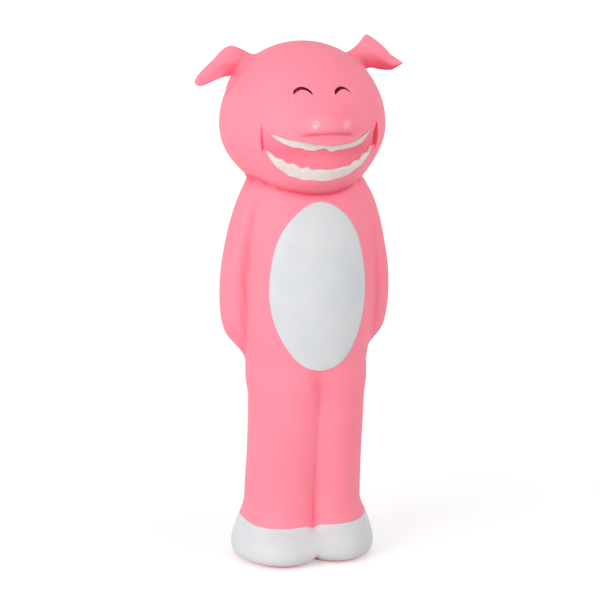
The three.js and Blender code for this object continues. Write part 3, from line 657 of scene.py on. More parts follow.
# %% Ear surface and ear field
def ear_points(side):
    """Rows along the ear, columns round each section, mirrored for the right ear (side -1)."""
    ear = LEFT_EAR if side > 0 else RIGHT_EAR
    share = np.append(spread((0, 0.86, 44), (0.86, 0.97, 10), (0.97, 1, 8)), 1)[:, None]
    around = np.linspace(0, 2 * np.pi, 56, endpoint=False)[None]
    x = ROOT_X + (ear["tip_x"] - ROOT_X) * share
    middle, half, thick = ear_section(x, ear)
    half[[0, -1]] = thick[[0, -1]] = 0
    up = np.sin(around)
    out = np.cos(around)
    y = EAR_BACK + EAR_LEAN * half * up + thick * out
    y = y + np.where(out < 0, -out, 0) * ear_hollow(x, up) * (thick > 0)
    p = np.stack([x + 0 * up, y, middle + half * up], -1)
    return p * [side, 1, 1]


def ear_places(p, side):
    """For points: x out along the ear, height over its middle, depth behind it, half sizes."""
    x, y, z = np.moveaxis(p * [side, 1, 1], -1, 0)
    middle, half, thick = ear_section(x, LEFT_EAR if side > 0 else RIGHT_EAR)
    over = z - middle
    return x, over, y - EAR_BACK - EAR_LEAN * over, half, thick


def ear_field(p, side):
    """Distance to the ear by the same sections, as for a limb lying along x."""
    x, over, behind, half, thick = ear_places(p, side)
    hollowed = np.maximum(thick - ear_hollow(x, np.clip(over / half, -1, 1)), 0.5)
    return ellipse_distance(over, behind, half, np.where(behind < 0, hollowed, thick))


def ears_field(p):
    """Distance to the nearer ear."""
    return np.minimum(ear_field(p, 1), ear_field(p, -1))


right_ear = surface_object("right_ear", ear_points(-1))
left_ear = surface_object("left_ear", ear_points(1))

# %% [markdown]
# ## The hollow
#
# Latex is cast hollow: it sets as an even wall inside the mould, and the rest is poured out
# through a hole in the base. The hollow follows the skin one wall deeper, stands on a flat
# floor round the collar, and leaves through the hole and the recess for the flange.

# %% Inside of the skin
WALL = 2.2
FLOOR_Z = 4.2
RECESS_Z = 1.6
LOWEST_RING_Z = 9.2
COLLAR_TOP_Z = 7.6
HOLE_RADIUS = 7.8
COLLAR_RADIUS = 9.8
RECESS_RADIUS = 10.3


def hollow_field(p):
    """The skin's field one wall deeper, with a floor above the base."""
    return common(skin_field(p) + WALL, FLOOR_Z - p[..., 2], 5)


def hollow_points():
    """Rings from the crown down the inside of the wall, round the collar and out at the base.

    Rays fan out from the head's middle, turn level in the neck, and dip a little at the base.
    """
    angles = COLUMNS[::2]
    fans = [(HEAD_Z, math.tan(a)) for a in np.radians(np.linspace(84, -40, 22))]
    fans += [(z, rise) for z, rise in zip(np.linspace(176, 140, 7), np.linspace(-0.75, 0, 7))]
    fans += [(z, 0.0) for z in np.linspace(135, LOWEST_RING_Z, 34)]
    fans += [(LOWEST_RING_Z, rise) for rise in (-0.1, -0.25, -0.4)]
    rows = [on_skin(*spine_ray(angles, z, rise), field=hollow_field) for z, rise in fans]
    turned = [(COLLAR_RADIUS, FLOOR_Z), (COLLAR_RADIUS, COLLAR_TOP_Z), (HOLE_RADIUS, COLLAR_TOP_Z),
              (HOLE_RADIUS, RECESS_Z), (RECESS_RADIUS, RECESS_Z), (RECESS_RADIUS, -1)]
    ring = np.stack([np.sin(angles), -np.cos(angles), np.zeros_like(angles)], -1)
    rows += [ring * radius + [0, 0, z] for radius, z in turned]
    top = on_skin(*spine_ray(np.zeros(1), HEAD_Z, 1e6), field=hollow_field) * [0, 0, 1]
    low = np.array([[0, 0, -1.0]])
    return np.stack([np.repeat(top, len(angles), 0)] + rows + [np.repeat(low, len(angles), 0)])


hollow = surface_object("hollow", hollow_points())

# %% [markdown]
# ## One skin
#
# Two boolean unions add the ears and a difference takes the hollow out, as in the part's
# source. Booleans leave a sharp seam where each ear meets the head, so the corners near it
# are then moved along the slope of the joined field until they lie on its fillet.

# %% Booleans
def boolean(target, other, operation):
    """Applies one boolean of two closed meshes to the target and removes the other object."""
    modifier = target.modifiers.new(operation.lower(), "BOOLEAN")
    modifier.operation = operation
    modifier.solver = "MANIFOLD"
    modifier.object = other
    depsgraph = bpy.context.evaluated_depsgraph_get()
    mesh = bpy.data.meshes.new_from_object(target.evaluated_get(depsgraph))
    target.modifiers.clear()
    target.data = mesh
    bpy.data.objects.remove(other)


boolean(figure, right_ear, "UNION")
boolean(figure, left_ear, "UNION")


# %% Soften the seams of the ears
def eared_field(p):
    """The figure and its ears, joined with a fillet."""
    return join(skin_field(p), ears_field(p), EAR_FILLET)


def soften(mesh):
    """Newton steps along the slope of the joined field, only where both shapes are near."""
    p = corners(mesh)
    near = (p[:, 2] > HEAD_Z + 8) & (np.abs(p[:, 0]) > 12)
    q = p[near]
    for _ in range(5):
        value = eared_field(q)
        pull = np.abs(skin_field(q) - ears_field(q)) < EAR_FILLET
        slope = normal_at(q, eared_field)
        q = q - slope * (np.clip(value, -0.6, 0.6) * pull)[:, None]
    p[near] = q
    mesh.vertices.foreach_set("co", in_frame(p).astype(np.float32).ravel())
    mesh.update()
    print("corners near the ears' fillets:", int(near.sum()))


soften(figure.data)
boolean(figure, hollow, "DIFFERENCE")
skin = object_from("latex_skin", figure.data)
bpy.data.objects.remove(figure)
outward(skin)

# %% [markdown]
# ## Painted shade in the folds
#
# Shade is painted into the latex's colour where it folds: a deeper pink stands in for the shade
# that falls in creases and hollows. The field tells how deep a place lies in a fold: one step out
# along the normal, open air would be one step from the clay, and in a fold other clay is nearer.
# Some places get more painted shade than their form alone gives: the mouth's floor and corners,
# the parting of the legs, the pit below each arm and the ears' undersides. These are added by
# place. The answer is stored on the mesh as an attribute for the material.

# %% Where shade is painted
# How much painted shade each place gets: a deeper pink that stands in for shade.
PAINTED_SHADE = dict(mouth_edge=0.15, mouth_floor=0.41, snout_line=0.2, under_snout=0.33, parting=0.06,
            crotch=0.46, arms=0.27, neck=0.15, jaw=0.45, ear_root=0.15, near=0.45, far=0.35)
EAR_PAINTED_SHADE = {-1: dict(x=29, length=8, amount=0.44), 1: dict(x=36.5, length=9, amount=0.95)}


def face_shade(p):
    """Painted shade on the face: the mouth's walls, creases and floor, and along and just above the line
    under the snout.
    """
    x, y, z = np.moveaxis(p, -1, 0)
    upper, lower, side, beside = mouth_ramps(p)
    corner_wall = 4 * side * (1 - side) * np.clip(upper * 4, 0, 1) * lower * (x > 0)
    upper_wall = 4 * upper * (1 - upper) * side * ramp(20.5 - np.abs(x), 2)
    creased = crease(z, beside) * np.where(x > 0, 1.0, 0.6)
    # Painted shade: darker in the mouth's corners, creases and floor, where shade falls.
    shade_amount = corner_wall + creased + PAINTED_SHADE["mouth_edge"] * upper_wall
    shade_amount = shade_amount + PAINTED_SHADE["mouth_floor"] * (upper * lower * side)
    snout = PAINTED_SHADE["snout_line"] * snout_fold(x, z) + PAINTED_SHADE["under_snout"] * snout_fold(x, z, 2.2)
    return facing_front(y) * (shade_amount + snout)


def leg_shade(p):
    """Painted shade in the parting of the legs, sharper to its right, and in the soft hollow where it
    starts.
    """
    x, y, z = np.moveaxis(p, -1, 0)
    across = x - PARTING / 2
    # The line ends at the feet and at the crotch, and the hollow goes on above it, growing wider.
    line = bell(across, np.where(across < 0, 2.6, 0.8)) * ramp(75 - z, 3) * ramp(z - 16, 3)
    width = 3.6 + 0.1 * np.clip(z - 73, 0, 14)
    start = bell(across + 2.4, width) * ramp(z - 74, 5) * ramp(90 - z, 4)
    return (PAINTED_SHADE["parting"] * line + PAINTED_SHADE["crotch"] * start) * (y < 0)


def groove(apart, near, far):
    """1 where two bodies are equally near, fading over `near` mm on one and `far` on the other."""
    return bell(apart, np.where(apart < 0, near, far))


def body_shade(p):
    """Painted shade in the grooves along the arms, in the crease of the neck and under the jaw."""
    x, y, z = np.moveaxis(p, -1, 0)
    legs, trunk = body_fields(p)
    arms = groove(arm_field(p) - np.minimum(legs, trunk), 4.5, 1.1)
    arms = arms * ramp(z - 84, 6) * ramp(172 - z, 10)
    neck = head_field(p) - trunk_field(p)
    under_jaw = ramp(163.5 - z, 3) * ramp(-neck, 2) * ramp(20 - np.abs(x), 12) * (y < 0)
    arms = arms * (1 - 0.7 * groove(neck, 4, 6))
    return PAINTED_SHADE["arms"] * arms + PAINTED_SHADE["neck"] * groove(neck, 3, 0.8) + PAINTED_SHADE["jaw"] * under_jaw


def near_place(p, place, width):
    """1 at a place, fading out round it."""
    return bell(np.linalg.norm(p - place, axis=1), width)


def ear_shade(p):
    """Painted shade on the lower half of each ear's front, deepest on the left, and in the hollow under its
    root.
    """
    total = np.zeros(len(p))
    for side, ear_shading in EAR_PAINTED_SHADE.items():
        x, over, behind, half, _ = ear_places(p, side)
        on_ear = bell(ear_field(p, side), 0.8) * (x > 22)
        along = bell(x - ear_shading["x"], ear_shading["length"])
        low_front = bell(over / half + 0.8, 0.7) * ramp(0.7 - behind, 0.7)
        root = near_place(p * [side, 1, 1], [27, 0, HEAD_Z + 18], 6.5)
        total += ear_shading["amount"] * on_ear * along * low_front + PAINTED_SHADE["ear_root"] * root
    return total


# %% Painted shade attribute
def fold_depth(p, out, step):
    """1 minus the field at a step outwards over the step itself, kept between 0 and 1."""
    return np.clip(1 - eared_field(p + out * step) / step, 0, 1)


def form_shade(p):
    """Painted shade by form, over a short, a middle and a long step, weaker where the ears lie close."""
    out = normal_at(p, eared_field)
    on_field = p - out * eared_field(p)[:, None]
    depth = PAINTED_SHADE["near"] * fold_depth(on_field, out, 2.0)
    depth = depth + PAINTED_SHADE["near"] * fold_depth(on_field, out, 6.0)
    depth = (depth + PAINTED_SHADE["far"] * fold_depth(on_field, out, 14.0)) * (np.abs(p[:, 0]) < 42)
    depth = depth * (1 - 0.75 * near_place(np.abs(p), [28.5, 4, HEAD_Z + 12], 6))
    ear_back = ramp(np.abs(p[:, 0]) - 23, 2) * ramp(p[:, 1] - 4, 1) * ramp(p[:, 2] - HEAD_Z - 8, 3)
    return depth * (1 - 0.8 * ear_back)


def add_painted_shade(mesh):
    """Stores per corner how much shade is painted there, from none (0) to the deepest painted shade (1)."""
    p = corners(mesh)
    shade_amount = form_shade(p) + face_shade(p) + leg_shade(p) + body_shade(p) + ear_shade(p)
    shade_amount = np.clip(shade_amount, 0, 1)
    # The painted shade goes to the material as an attribute.
    keep_attribute(mesh, "painted_shade", shade_amount)
    keep_attribute(mesh, "wet", facing_front(p[:, 1]) * nostril(p[:, 0], p[:, 2]))
    print("deepest fold", round(float(shade_amount.max()), 2), "mean", round(float(shade_amount.mean()), 3))


add_painted_shade(skin.data)
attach(skin, "toy")
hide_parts("latex_body")

# %% [markdown]
# ## Painted bands
#
# Teeth, eye lines and foot paint are all the same kind of thing: a strip that runs along a
# curve on the skin. `section` is its small closed outline: `across` is the share of the way
# from the middle of the strip to its edge, and the height says how far it stands off the skin
# there. `face_band` carries that section along a curve of the face.

# %% Bands on the skin
SINK = 0.25


def section(count, flat=0.8):
    """Closed loop of (across, height): a flat-topped strip with round shoulders, foot below 0."""
    t = np.linspace(0, 2 * np.pi, count, endpoint=False)
    across = np.sign(np.cos(t)) * np.abs(np.cos(t)) ** (1 - flat)
    height = np.where(np.sin(t) > 0, np.abs(np.sin(t)) ** (1 - flat * 0.5), -1.0)
    return across, height


def front_skin(x, z):
    """Skin points straight behind (x, z) in the front view, with the relief pressed in."""
    x, z = np.broadcast_arrays(x, z)
    origin = np.stack([x, np.full_like(x, -60.0), z], -1)
    direction = np.broadcast_to([0.0, 1.0, 0.0], origin.shape)
    p = on_skin(origin, direction)
    return p, p + direction * relief(p)[..., None]


def face_band(name, middle_x, half_width, lower, upper, height, sink, count):
    """A strip across the face between two curves of x, standing `height` off the relief."""
    share = np.append(spread((-1, -0.9, 12), (-0.9, 0.9, count), (0.9, 1, 12)), 1)
    x = (half_width * share)[:, None]
    across, off = section(20)
    closing = np.sqrt(np.maximum(1 - np.abs(share) ** 12, 0))[:, None]
    centre = (lower(x) + upper(x)) / 2
    half = (upper(x) - lower(x)) / 2 * closing
    bare, pressed = front_skin(middle_x + x, centre + half * across)
    lift_off = np.where(off > 0, off * height * (0.4 + 0.6 * closing), -sink)
    thin = np.maximum(0.35 * np.abs(across) ** 8, 1 - closing) + 0 * lift_off
    points = pressed + normal_at(bare) * lift_off[..., None]
    return surface_object(name, points, thin)

# %% [markdown]
# ## Teeth
#
# The teeth stand in low relief on the mouth's floor. They are cut and painted by hand, so
# each row has its own uneven free edge: a list of places (x, height over the head's middle),
# in millimetres, with a notch between the upper front teeth. The other edge follows the lip.

# %% Both rows of teeth
TOOTH_HEIGHT = 0.85
UPPER_FREE = [(-20.8, -0.1), (-20.1, -1), (-19.1, -1.6), (-17.1, -2.9), (-15.1, -3.9), (-13, -4.6),
              (-10.9, -4.8), (-9.8, -4.9), (-8.7, -5.5), (-6.4, -5.8), (-5.2, -5.9), (-4.1, -5.5),
              (-2.9, -5.2), (-1.1, -5.1), (-0.5, -5.4), (0.8, -6.2), (2.1, -6.4), (3.4, -6),
              (4.7, -5.7), (6, -5.9), (8.7, -5.5), (11.6, -5.2), (13.1, -4.7), (14.6, -4.3),
              (16.3, -3.3), (18, -2), (19.9, -0.2), (20.4, 0.6)]
LOWER_FREE = [(-22.2, -6.2), (-21, -6.8), (-19.9, -7.7), (-18.9, -8.9), (-17.9, -9.4),
              (-16.9, -9.6), (-15.8, -10.3), (-14.7, -11.4), (-12.6, -11.4), (-11.5, -11.9), (-10.4, -12.8),
              (-9.3, -13.2), (-8.2, -12.8), (-7.1, -12.8), (-5.9, -13.5), (-4.7, -13.8),
              (-3.6, -13.6), (-1.2, -13.7), (0.1, -14), (2.6, -13.8), (5.2, -13.6), (7.9, -13.1),
              (10.8, -12.8), (11.5, -12.3), (12.2, -11.5), (13.7, -11.2), (15.4, -11.2),
              (16.1, -10.4), (16.8, -9.4), (18.4, -8.7), (19.8, -8.2), (20.5, -6.2), (21.4, -5.6)]


def teeth(name, free, low_edge, high_edge):
    """A face band between a lip and the row's free edge, as long as the free edge."""
    half_width = (free[-1][0] - free[0][0]) / 2
    middle = (free[-1][0] + free[0][0]) / 2
    obj = face_band(name, middle, half_width, lambda x: low_edge(middle + x),
                    lambda x: high_edge(middle + x), TOOTH_HEIGHT, SINK, count=220)
    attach(obj, "toy")
    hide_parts(name)
    return obj


upper_teeth = teeth("upper_teeth_paint", UPPER_FREE, through(UPPER_FREE),
                    lambda x: MOUTH_TOP(x) + 0.2)
lower_teeth = teeth("lower_teeth_paint", LOWER_FREE, lambda x: MOUTH_BOTTOM(x) - 0.1,
                    through(LOWER_FREE))

# %% [markdown]
# ## Eyes
#
# The eyes are closed by laughter: a dark brush line along each arch. The brush was set down
# full at the left end of each line and ran out towards the right one, most of all on the left
# eye. The line's thickness is given at places along it, from its left end to its right one.

# %% Eye lines
LINE_HEIGHT = 0.1
LINE_SINK = 0.3
RIGHT_EYE_LINE = [(-1, 0.85), (-0.6, 0.95), (0, 1.0), (0.6, 0.9), (1, 0.75)]
LEFT_EYE_LINE = [(-1, 1.15), (-0.6, 1.25), (-0.1, 1.0), (0.3, 0.65), (1, 0.4)]


def eye_line(name, side, thickness):
    """A thin face band along the arch, as thick as the brush made it."""
    eye = EYE[side]
    table = limb(0, 1, thickness)

    def half(x):
        slope = 2 * eye["arch"] * x / eye["half_width"] ** 2
        return limb_sizes(table, x / eye["half_width"])[..., 0] / 2 * np.hypot(1, slope)

    obj = face_band(name, eye["middle"], eye["half_width"], lambda x: eye_arch(x, eye) - half(x),
                    lambda x: eye_arch(x, eye) + half(x), LINE_HEIGHT, LINE_SINK, count=60)
    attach(obj, "toy")
    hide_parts(name)
    return obj


right_eye = eye_line("right_eye_line", -1, RIGHT_EYE_LINE)
left_eye = eye_line("left_eye_line", 1, LEFT_EYE_LINE)

# %% [markdown]
# ## Belly and feet
#
# Both are sprayed or brushed through a mask onto the finished skin, so the film follows every
# form and has an edge that wavers a little. The belly is a round patch: rings from its middle
# to its rim on top, and back to the middle underneath. The feet are dipped in thicker paint,
# which stands in the parting between them: so their coat is one ring round both feet, which
# leaves the skin there and follows a trunk whose legs are joined by a much wider fillet.

# %% Belly
PAINT = 0.14
BELLY = dict(middle_z=LEG_LENGTH + 0.517 * TRUNK_LENGTH, half_width=20.5, half_height=35)


def belly_points():
    """Polar grid on an ellipse with a slightly wavering rim, top side out and underside back."""
    around = np.linspace(0, 2 * np.pi, 200, endpoint=False)[None]
    share = np.append(spread((0, 0.9, 40), (0.9, 1, 8)), 1)[:, None]
    waver = 1 + 0.006 * np.sin(3 * around + 0.6) + 0.005 * np.sin(7 * around + 2.0)
    x = BELLY["half_width"] * share * np.sin(around) * waver
    z = BELLY["middle_z"] + BELLY["half_height"] * share * np.cos(around) * waver
    p = front_skin(x, z)[0]
    out = normal_at(p)
    edge = np.sqrt(np.maximum(1 - share**40, 0))[..., None]
    top = p + out * (edge * (PAINT + SINK) - SINK)
    under = p - out * SINK
    thin = np.clip((share - 0.97) / 0.03, 0, 1) ** 2 + 0 * x
    return np.concatenate([top, under[::-1]]), np.concatenate([thin, thin[::-1]])


belly = surface_object("belly_paint", *belly_points())
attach(belly, "toy")
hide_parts("belly_paint")


# %% Feet
COAT = dict(low=1.6, high=16.05, rise=2.3, slant=0.35)
FILLED_FILLET = 11


def foot_top(angle):
    """Height of the coat's upper edge: higher at the sides, and dipping at the parting."""
    side = np.abs(np.sin(angle)) ** 14
    edge = COAT["high"] + COAT["slant"] * np.sin(angle) + COAT["rise"] * side
    return edge - 1.4 * bell(angle, 0.13)


def foot_points():
    """A strip round both feet, closed both ways, whose paint fills the groove between them."""
    angle = COLUMNS[:, None]
    across, off = section(72, flat=0.5)
    low, high = COAT["low"] + 1.5 * bell(angle, 0.07), foot_top(angle)
    z = (low + high) / 2 + (high - low) / 2 * across
    ray = spine_ray(angle, z, 0.0)
    p = on_skin(*ray)
    filled = on_skin(*ray, field=lambda q: on_floor(trunk_field(q, FILLED_FILLET), q))
    share = np.where(off > 0, 1 - np.abs(across) ** 6, 0)[..., None]
    outside = p + (filled - p) * share
    height = np.where(off > 0, np.minimum(off * 4, 1) * PAINT, -SINK)
    thin = np.clip((across - 0.9) / 0.1, 0, 1) ** 2 + 0 * z
    return outside + normal_at(p) * height[..., None], thin


feet = surface_object("feet_paint", *foot_points(), ring=True)
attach(feet, "toy")
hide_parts("right_foot_paint", "left_foot_paint")

# %% [markdown]
# ## The squeaker
#
# The squeaker's barrel is a turned part: a profile of radius and height swung round the axis.
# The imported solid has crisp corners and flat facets, so a rounder one takes its place. Each
# corner of the profile becomes a small arc, and the row is closed round the barrel's wall.
# The reed, its block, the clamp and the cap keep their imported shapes.

# %% Turned barrel
def rounded(profile, radius, count):
    """Each corner of a closed profile becomes a curve between points near it on both sides."""
    corner_at = np.array(profile, float)
    ends = []
    for step in (1, -1):
        way = np.roll(corner_at, step, 0) - corner_at
        share = np.minimum(radius / np.linalg.norm(way, axis=1), 0.45)[:, None]
        ends.append((corner_at + way * share)[:, None])
    a, b = ends
    t = np.linspace(0, 1, count)[None, :, None]
    curve = (1 - t) ** 2 * a + 2 * t * (1 - t) * corner_at[:, None] + t**2 * b
    return curve.reshape(-1, 2)


def turned(name, profile):
    """A closed profile swung once round the axis, closed both ways."""
    radius, z = rounded(profile, 0.25, 5).T[..., None]
    angle = np.linspace(0, 2 * np.pi, 96, endpoint=False)[None]
    points = np.stack([radius * np.sin(angle), -radius * np.cos(angle), z + 0 * angle], -1)
    return surface_object(name, points, ring=True)


barrel = turned("squeaker_barrel", [
    (2.5, 0.3), (10, 0.3), (10, 1.3), (7.5, 1.3), (7.5, 7.9), (8.5, 7.9), (7.5, 10.1),
    (7.5, 17.3), (6.3, 17.3), (6.3, 2.5), (2.5, 2.5),
])
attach(barrel, "toy")
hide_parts("squeaker_housing")

# %% [markdown]
# ## Finishes
#
# Each finish is a tree of nodes that reads Object coordinates, so nothing slides or stretches.
# What several finishes share is made once as a group: the fine grain that a plaster mould
# leaves on latex, the slow unevenness of a colour mixed by hand, and paint that lets the
# ground through where its film runs thin. The shaders stay in the materials themselves.

# %% Building node trees
def screen(red, green, blue):
    """An 8-bit screen colour as the linear colour that a shader works with."""
    c = np.array([red, green, blue]) / 255
    linear = np.where(c <= 0.04045, c / 12.92, ((c + 0.055) / 1.055) ** 2.4)
    return (*linear.tolist(), 1.0)


def set_socket(tree, socket, value):
    """Gives a socket a value, or a link where the value is another node's output."""
    if isinstance(value, bpy.types.NodeSocket):
        tree.links.new(value, socket)
    else:
        socket.default_value = value


def node(tree, kind, sockets=None, **settings):
    """Adds a node with its settings, and then with its sockets' values or links."""
    made = tree.nodes.new("ShaderNode" + kind)
    for label, value in settings.items():
        setattr(made, label, value)
    for label, value in (sockets or {}).items():
        set_socket(tree, made.inputs[label], value)
    return made


def mix_colours(tree, share, a, b):
    """Colour a where the share is 0 and colour b where it is 1."""
    return node(tree, "Mix", {0: share, 6: a, 7: b}, data_type="RGBA").outputs[2]


def map_range(tree, value, source, target, **settings):
    """Takes a value from one range (low, high) to another, and holds it inside."""
    return node(tree, "MapRange", {
        "Value": value, "From Min": source[0], "From Max": source[1],
        "To Min": target[0], "To Max": target[1],
    }, **settings).outputs["Result"]


def attribute(tree, label):
    """The number that the mesh carries under a label."""
    return node(tree, "Attribute", attribute_name=label).outputs["Fac"]


def noise(tree, waves, detail):
    """Noise on Object coordinates; the scale is in waves per metre."""
    place = node(tree, "TexCoord").outputs["Object"]
    sockets = {"Vector": place, "Scale": waves, "Detail": detail, "Roughness": 0.55}
    return node(tree, "TexNoise", sockets).outputs["Fac"]


def make_group(name, inputs, outputs, fill):
    """A group with named sockets; fill(tree, its inputs) returns what each output gets."""
    tree = bpy.data.node_groups.new(name, "ShaderNodeTree")
    for way, sockets in (("INPUT", inputs), ("OUTPUT", outputs)):
        for label, kind in sockets.items():
            tree.interface.new_socket(label, in_out=way, socket_type="NodeSocket" + kind)
    inside, outside = tree.nodes.new("NodeGroupInput"), tree.nodes.new("NodeGroupOutput")
    for label, value in fill(tree, inside.outputs).items():
        tree.links.new(value, outside.inputs[label])
    return tree


# %% Three groups
def fill_grain(tree, inputs):
    """Height = fine noise, plus a share of slow noise, for a surface cast against plaster."""
    fine, slow = noise(tree, inputs["Waves per metre"], 4), noise(tree, 70, 2)
    swell = node(tree, "Math", {0: slow, 1: inputs["Swell"], 2: fine}, operation="MULTIPLY_ADD")
    return {"Height": swell.outputs[0], "Mask": fine}


def fill_mottle(tree, inputs):
    """Colour drifts to a second one by slow noise, whose range is spread from 0 to Amount."""
    drift = noise(tree, inputs["Waves per metre"], 3)
    mask = map_range(tree, drift, (0.35, 0.65), (0, inputs["Amount"]))
    return {"Colour": mix_colours(tree, mask, inputs["Colour"], inputs["Second Colour"])}


def fill_thin_paint(tree, inputs):
    """Ground shows by the thin attribute, made ragged by fine noise."""
    ragged = node(tree, "Math", {0: attribute(tree, "thin"), 1: noise(tree, 900, 2)},
                  operation="ADD").outputs[0]
    mask = map_range(tree, ragged, (inputs["Cover"], 1.6), (0, 1))
    return {"Colour": mix_colours(tree, mask, inputs["Paint"], inputs["Ground"])}


grain = make_group("mould grain", {"Waves per metre": "Float", "Swell": "Float"},
                   {"Height": "Float", "Mask": "Float"}, fill_grain)
mottle = make_group("hand mixed colour", {
    "Colour": "Color", "Second Colour": "Color", "Amount": "Float", "Waves per metre": "Float",
}, {"Colour": "Color"}, fill_mottle)
thin_paint = make_group("thin paint", {"Paint": "Color", "Ground": "Color", "Cover": "Float"},
                        {"Colour": "Color"}, fill_thin_paint)


# %% Material helpers
def finish(name, **values):
    """A new material; returns it, its tree and its Principled shader with constant values."""
    material = bpy.data.materials.new(name)
    material.use_nodes = True
    shader = material.node_tree.nodes["Principled BSDF"]
    for label, value in values.items():
        shader.inputs[label.replace("_", " ")].default_value = value
    return material, material.node_tree, shader


def mixed_colour(tree, colour, second, amount, waves):
    """The group of hand-mixed colour, with its values."""
    return node(tree, "Group", {
        "Colour": colour, "Second Colour": second, "Amount": amount, "Waves per metre": waves,
    }, node_tree=mottle).outputs["Colour"]


def cast_surface(tree, shader, waves, swell, rough, depth_mm):
    """The grain as the shader's normal, and a roughness that runs between two values with it."""
    texture = node(tree, "Group", {"Waves per metre": waves, "Swell": swell}, node_tree=grain)
    level = map_range(tree, texture.outputs["Mask"], (0, 1), rough)
    tree.links.new(level, shader.inputs["Roughness"])
    raised = node(tree, "Bump", {
        "Height": texture.outputs["Height"], "Strength": 1.0, "Distance": depth_mm * MM,
    })
    tree.links.new(raised.outputs["Normal"], shader.inputs["Normal"])


def give(material, *objects):
    """Makes a material the only one of each object."""
    for obj in objects:
        obj.data.materials.clear()
        obj.data.materials.append(material)

# %% [markdown]
# ## Pink latex
#
# Pigmented natural latex is satin, and light goes a little way into it, so shadows inside
# folds turn warm and deep instead of grey. Shade is also painted in: the painted-shade
# attribute pulls the colour down to a deep pink there, and a small amount of subsurface
# scattering softens every edge.

# %% Latex
PINK = screen(255, 140, 159)
PINK_SECOND = screen(255, 133, 152)
# The deep pink of painted shade in the folds.
PINK_IN_SHADE = screen(224, 40, 80)


def make_latex():
    """Satin pink with shade painted deeper into the folds, with a wet gloss in the nostrils."""
    material, tree, shader = finish(
        "pink latex", Coat_Roughness=0.2, Coat_IOR=1.7, Specular_IOR_Level=0.3, IOR=1.5,
        Subsurface_Weight=0.5, Subsurface_Radius=(1.0, 0.3, 0.25), Subsurface_Scale=0.003)
    shader.subsurface_method = "BURLEY"
    base = mixed_colour(tree, PINK, PINK_SECOND, 0.6, 45)
    # Painted shade: the colour goes towards the deep pink as the attribute rises.
    share = map_range(tree, attribute(tree, "painted_shade"), (0.22, 1.0), (0, 0.8),
                      interpolation_type="SMOOTHSTEP")
    tree.links.new(mix_colours(tree, share, base, PINK_IN_SHADE), shader.inputs["Base Color"])
    cast_surface(tree, shader, 1500, 1.2, (0.52, 0.62), 0.09)
    coat = map_range(tree, attribute(tree, "wet"), (0.15, 0.9), (0, 1))
    tree.links.new(coat, shader.inputs["Coat Weight"])
    return material


give(make_latex(), skin)

# %% [markdown]
# ## Paint
#
# White on the belly and feet, warm off-white on the teeth and dark maroon on the eyes: the
# same flexible paint each time. Where its film runs thin the pink ground shows through.

# %% White, tooth and eye paint
def make_paint(name, colour, second, ground, cover, roughness, shine, waves=60):
    """Mixed colour that thins out to its ground, on the grain of the latex below."""
    material, tree, shader = finish(name, IOR=1.47, Specular_IOR_Level=shine)
    film = node(tree, "Group", {
        "Paint": mixed_colour(tree, colour, second, 0.8, waves), "Ground": ground, "Cover": cover,
    }, node_tree=thin_paint)
    tree.links.new(film.outputs["Colour"], shader.inputs["Base Color"])
    cast_surface(tree, shader, 1100, 1.5, (roughness - 0.05, roughness + 0.07), 0.07)
    return material


give(make_paint("white paint", screen(213, 215, 217), screen(205, 208, 211),
                screen(246, 160, 176), 1.15, 0.46, 0.3), belly, feet)
give(make_paint("tooth paint", screen(229, 215, 209), screen(215, 204, 198),
                screen(246, 150, 168), 1.0, 0.4, 0.35, waves=160), upper_teeth, lower_teeth)
give(make_paint("eye paint", screen(84, 0, 16), screen(104, 0, 26),
                screen(200, 70, 100), 1.5, 0.6, 0.1, waves=400), right_eye, left_eye)

# %% [markdown]
# ## Squeaker plastic and reed film
#
# The squeaker is moulded from plain milky polyethylene, with faint flow marks. The reed is a
# strip of clear, slightly yellow film.

# %% Plastic and film
def make_plastic():
    """Milky and even, with a soft gloss."""
    material, tree, shader = finish(
        "squeaker plastic", Subsurface_Weight=0.15, Subsurface_Scale=0.002)
    colour = mixed_colour(tree, screen(236, 233, 224), screen(224, 221, 210), 0.7, 220)
    tree.links.new(colour, shader.inputs["Base Color"])
    cast_surface(tree, shader, 2600, 0.6, (0.32, 0.46), 0.03)
    return material


def make_film():
    """Slightly yellow and glossy, with a coat."""
    material, tree, shader = finish("reed film", Coat_Weight=0.3)
    colour = mixed_colour(tree, screen(226, 226, 214), screen(210, 211, 194), 0.5, 500)
    tree.links.new(colour, shader.inputs["Base Color"])
    cast_surface(tree, shader, 3500, 0.3, (0.12, 0.2), 0.01)
    return material


objects = bpy.data.objects
give(make_plastic(), barrel, objects["reed_block"], objects["reed_clamp"], objects["squeaker_cap"])
give(make_film(), objects["squeaker_reed"])

# %% [markdown]
# ## Floor, light and camera
#
# The toy stands on a plain white sweep. Most of its light comes from the pale surroundings. A
# large soft lamp on the left shapes it, and a weak one on the right opens its shade. Light
# that goes to the toy and light that is seen are set apart by ray kind, because the white that
# the camera sees would be too strong a lamp. The camera stands where the photographer's did.

# %% Camera
CAMERA_AZIMUTH = math.radians(-16.5)
CAMERA_ELEVATION = math.radians(12)
CAMERA_DISTANCE = 1.1
TARGET = Vector((-0.96, 2.85, 108)) * MM

camera_data = bpy.data.cameras.new("camera")
camera_data.sensor_width = 36
camera_data.lens = 159.92
camera_data.clip_end = 50
camera = bpy.data.objects.new("camera", camera_data)
bpy.context.scene.collection.objects.link(camera)
back = Vector((
    math.sin(CAMERA_AZIMUTH) * math.cos(CAMERA_ELEVATION),
    -math.cos(CAMERA_AZIMUTH) * math.cos(CAMERA_ELEVATION),
    math.sin(CAMERA_ELEVATION),
))
camera.location = TARGET + back * CAMERA_DISTANCE
camera.rotation_euler = back.to_track_quat("Z", "Y").to_euler()
bpy.context.scene.camera = camera


# %% Lamps
LIT_PLACE = Vector((0, 0, 0.11))


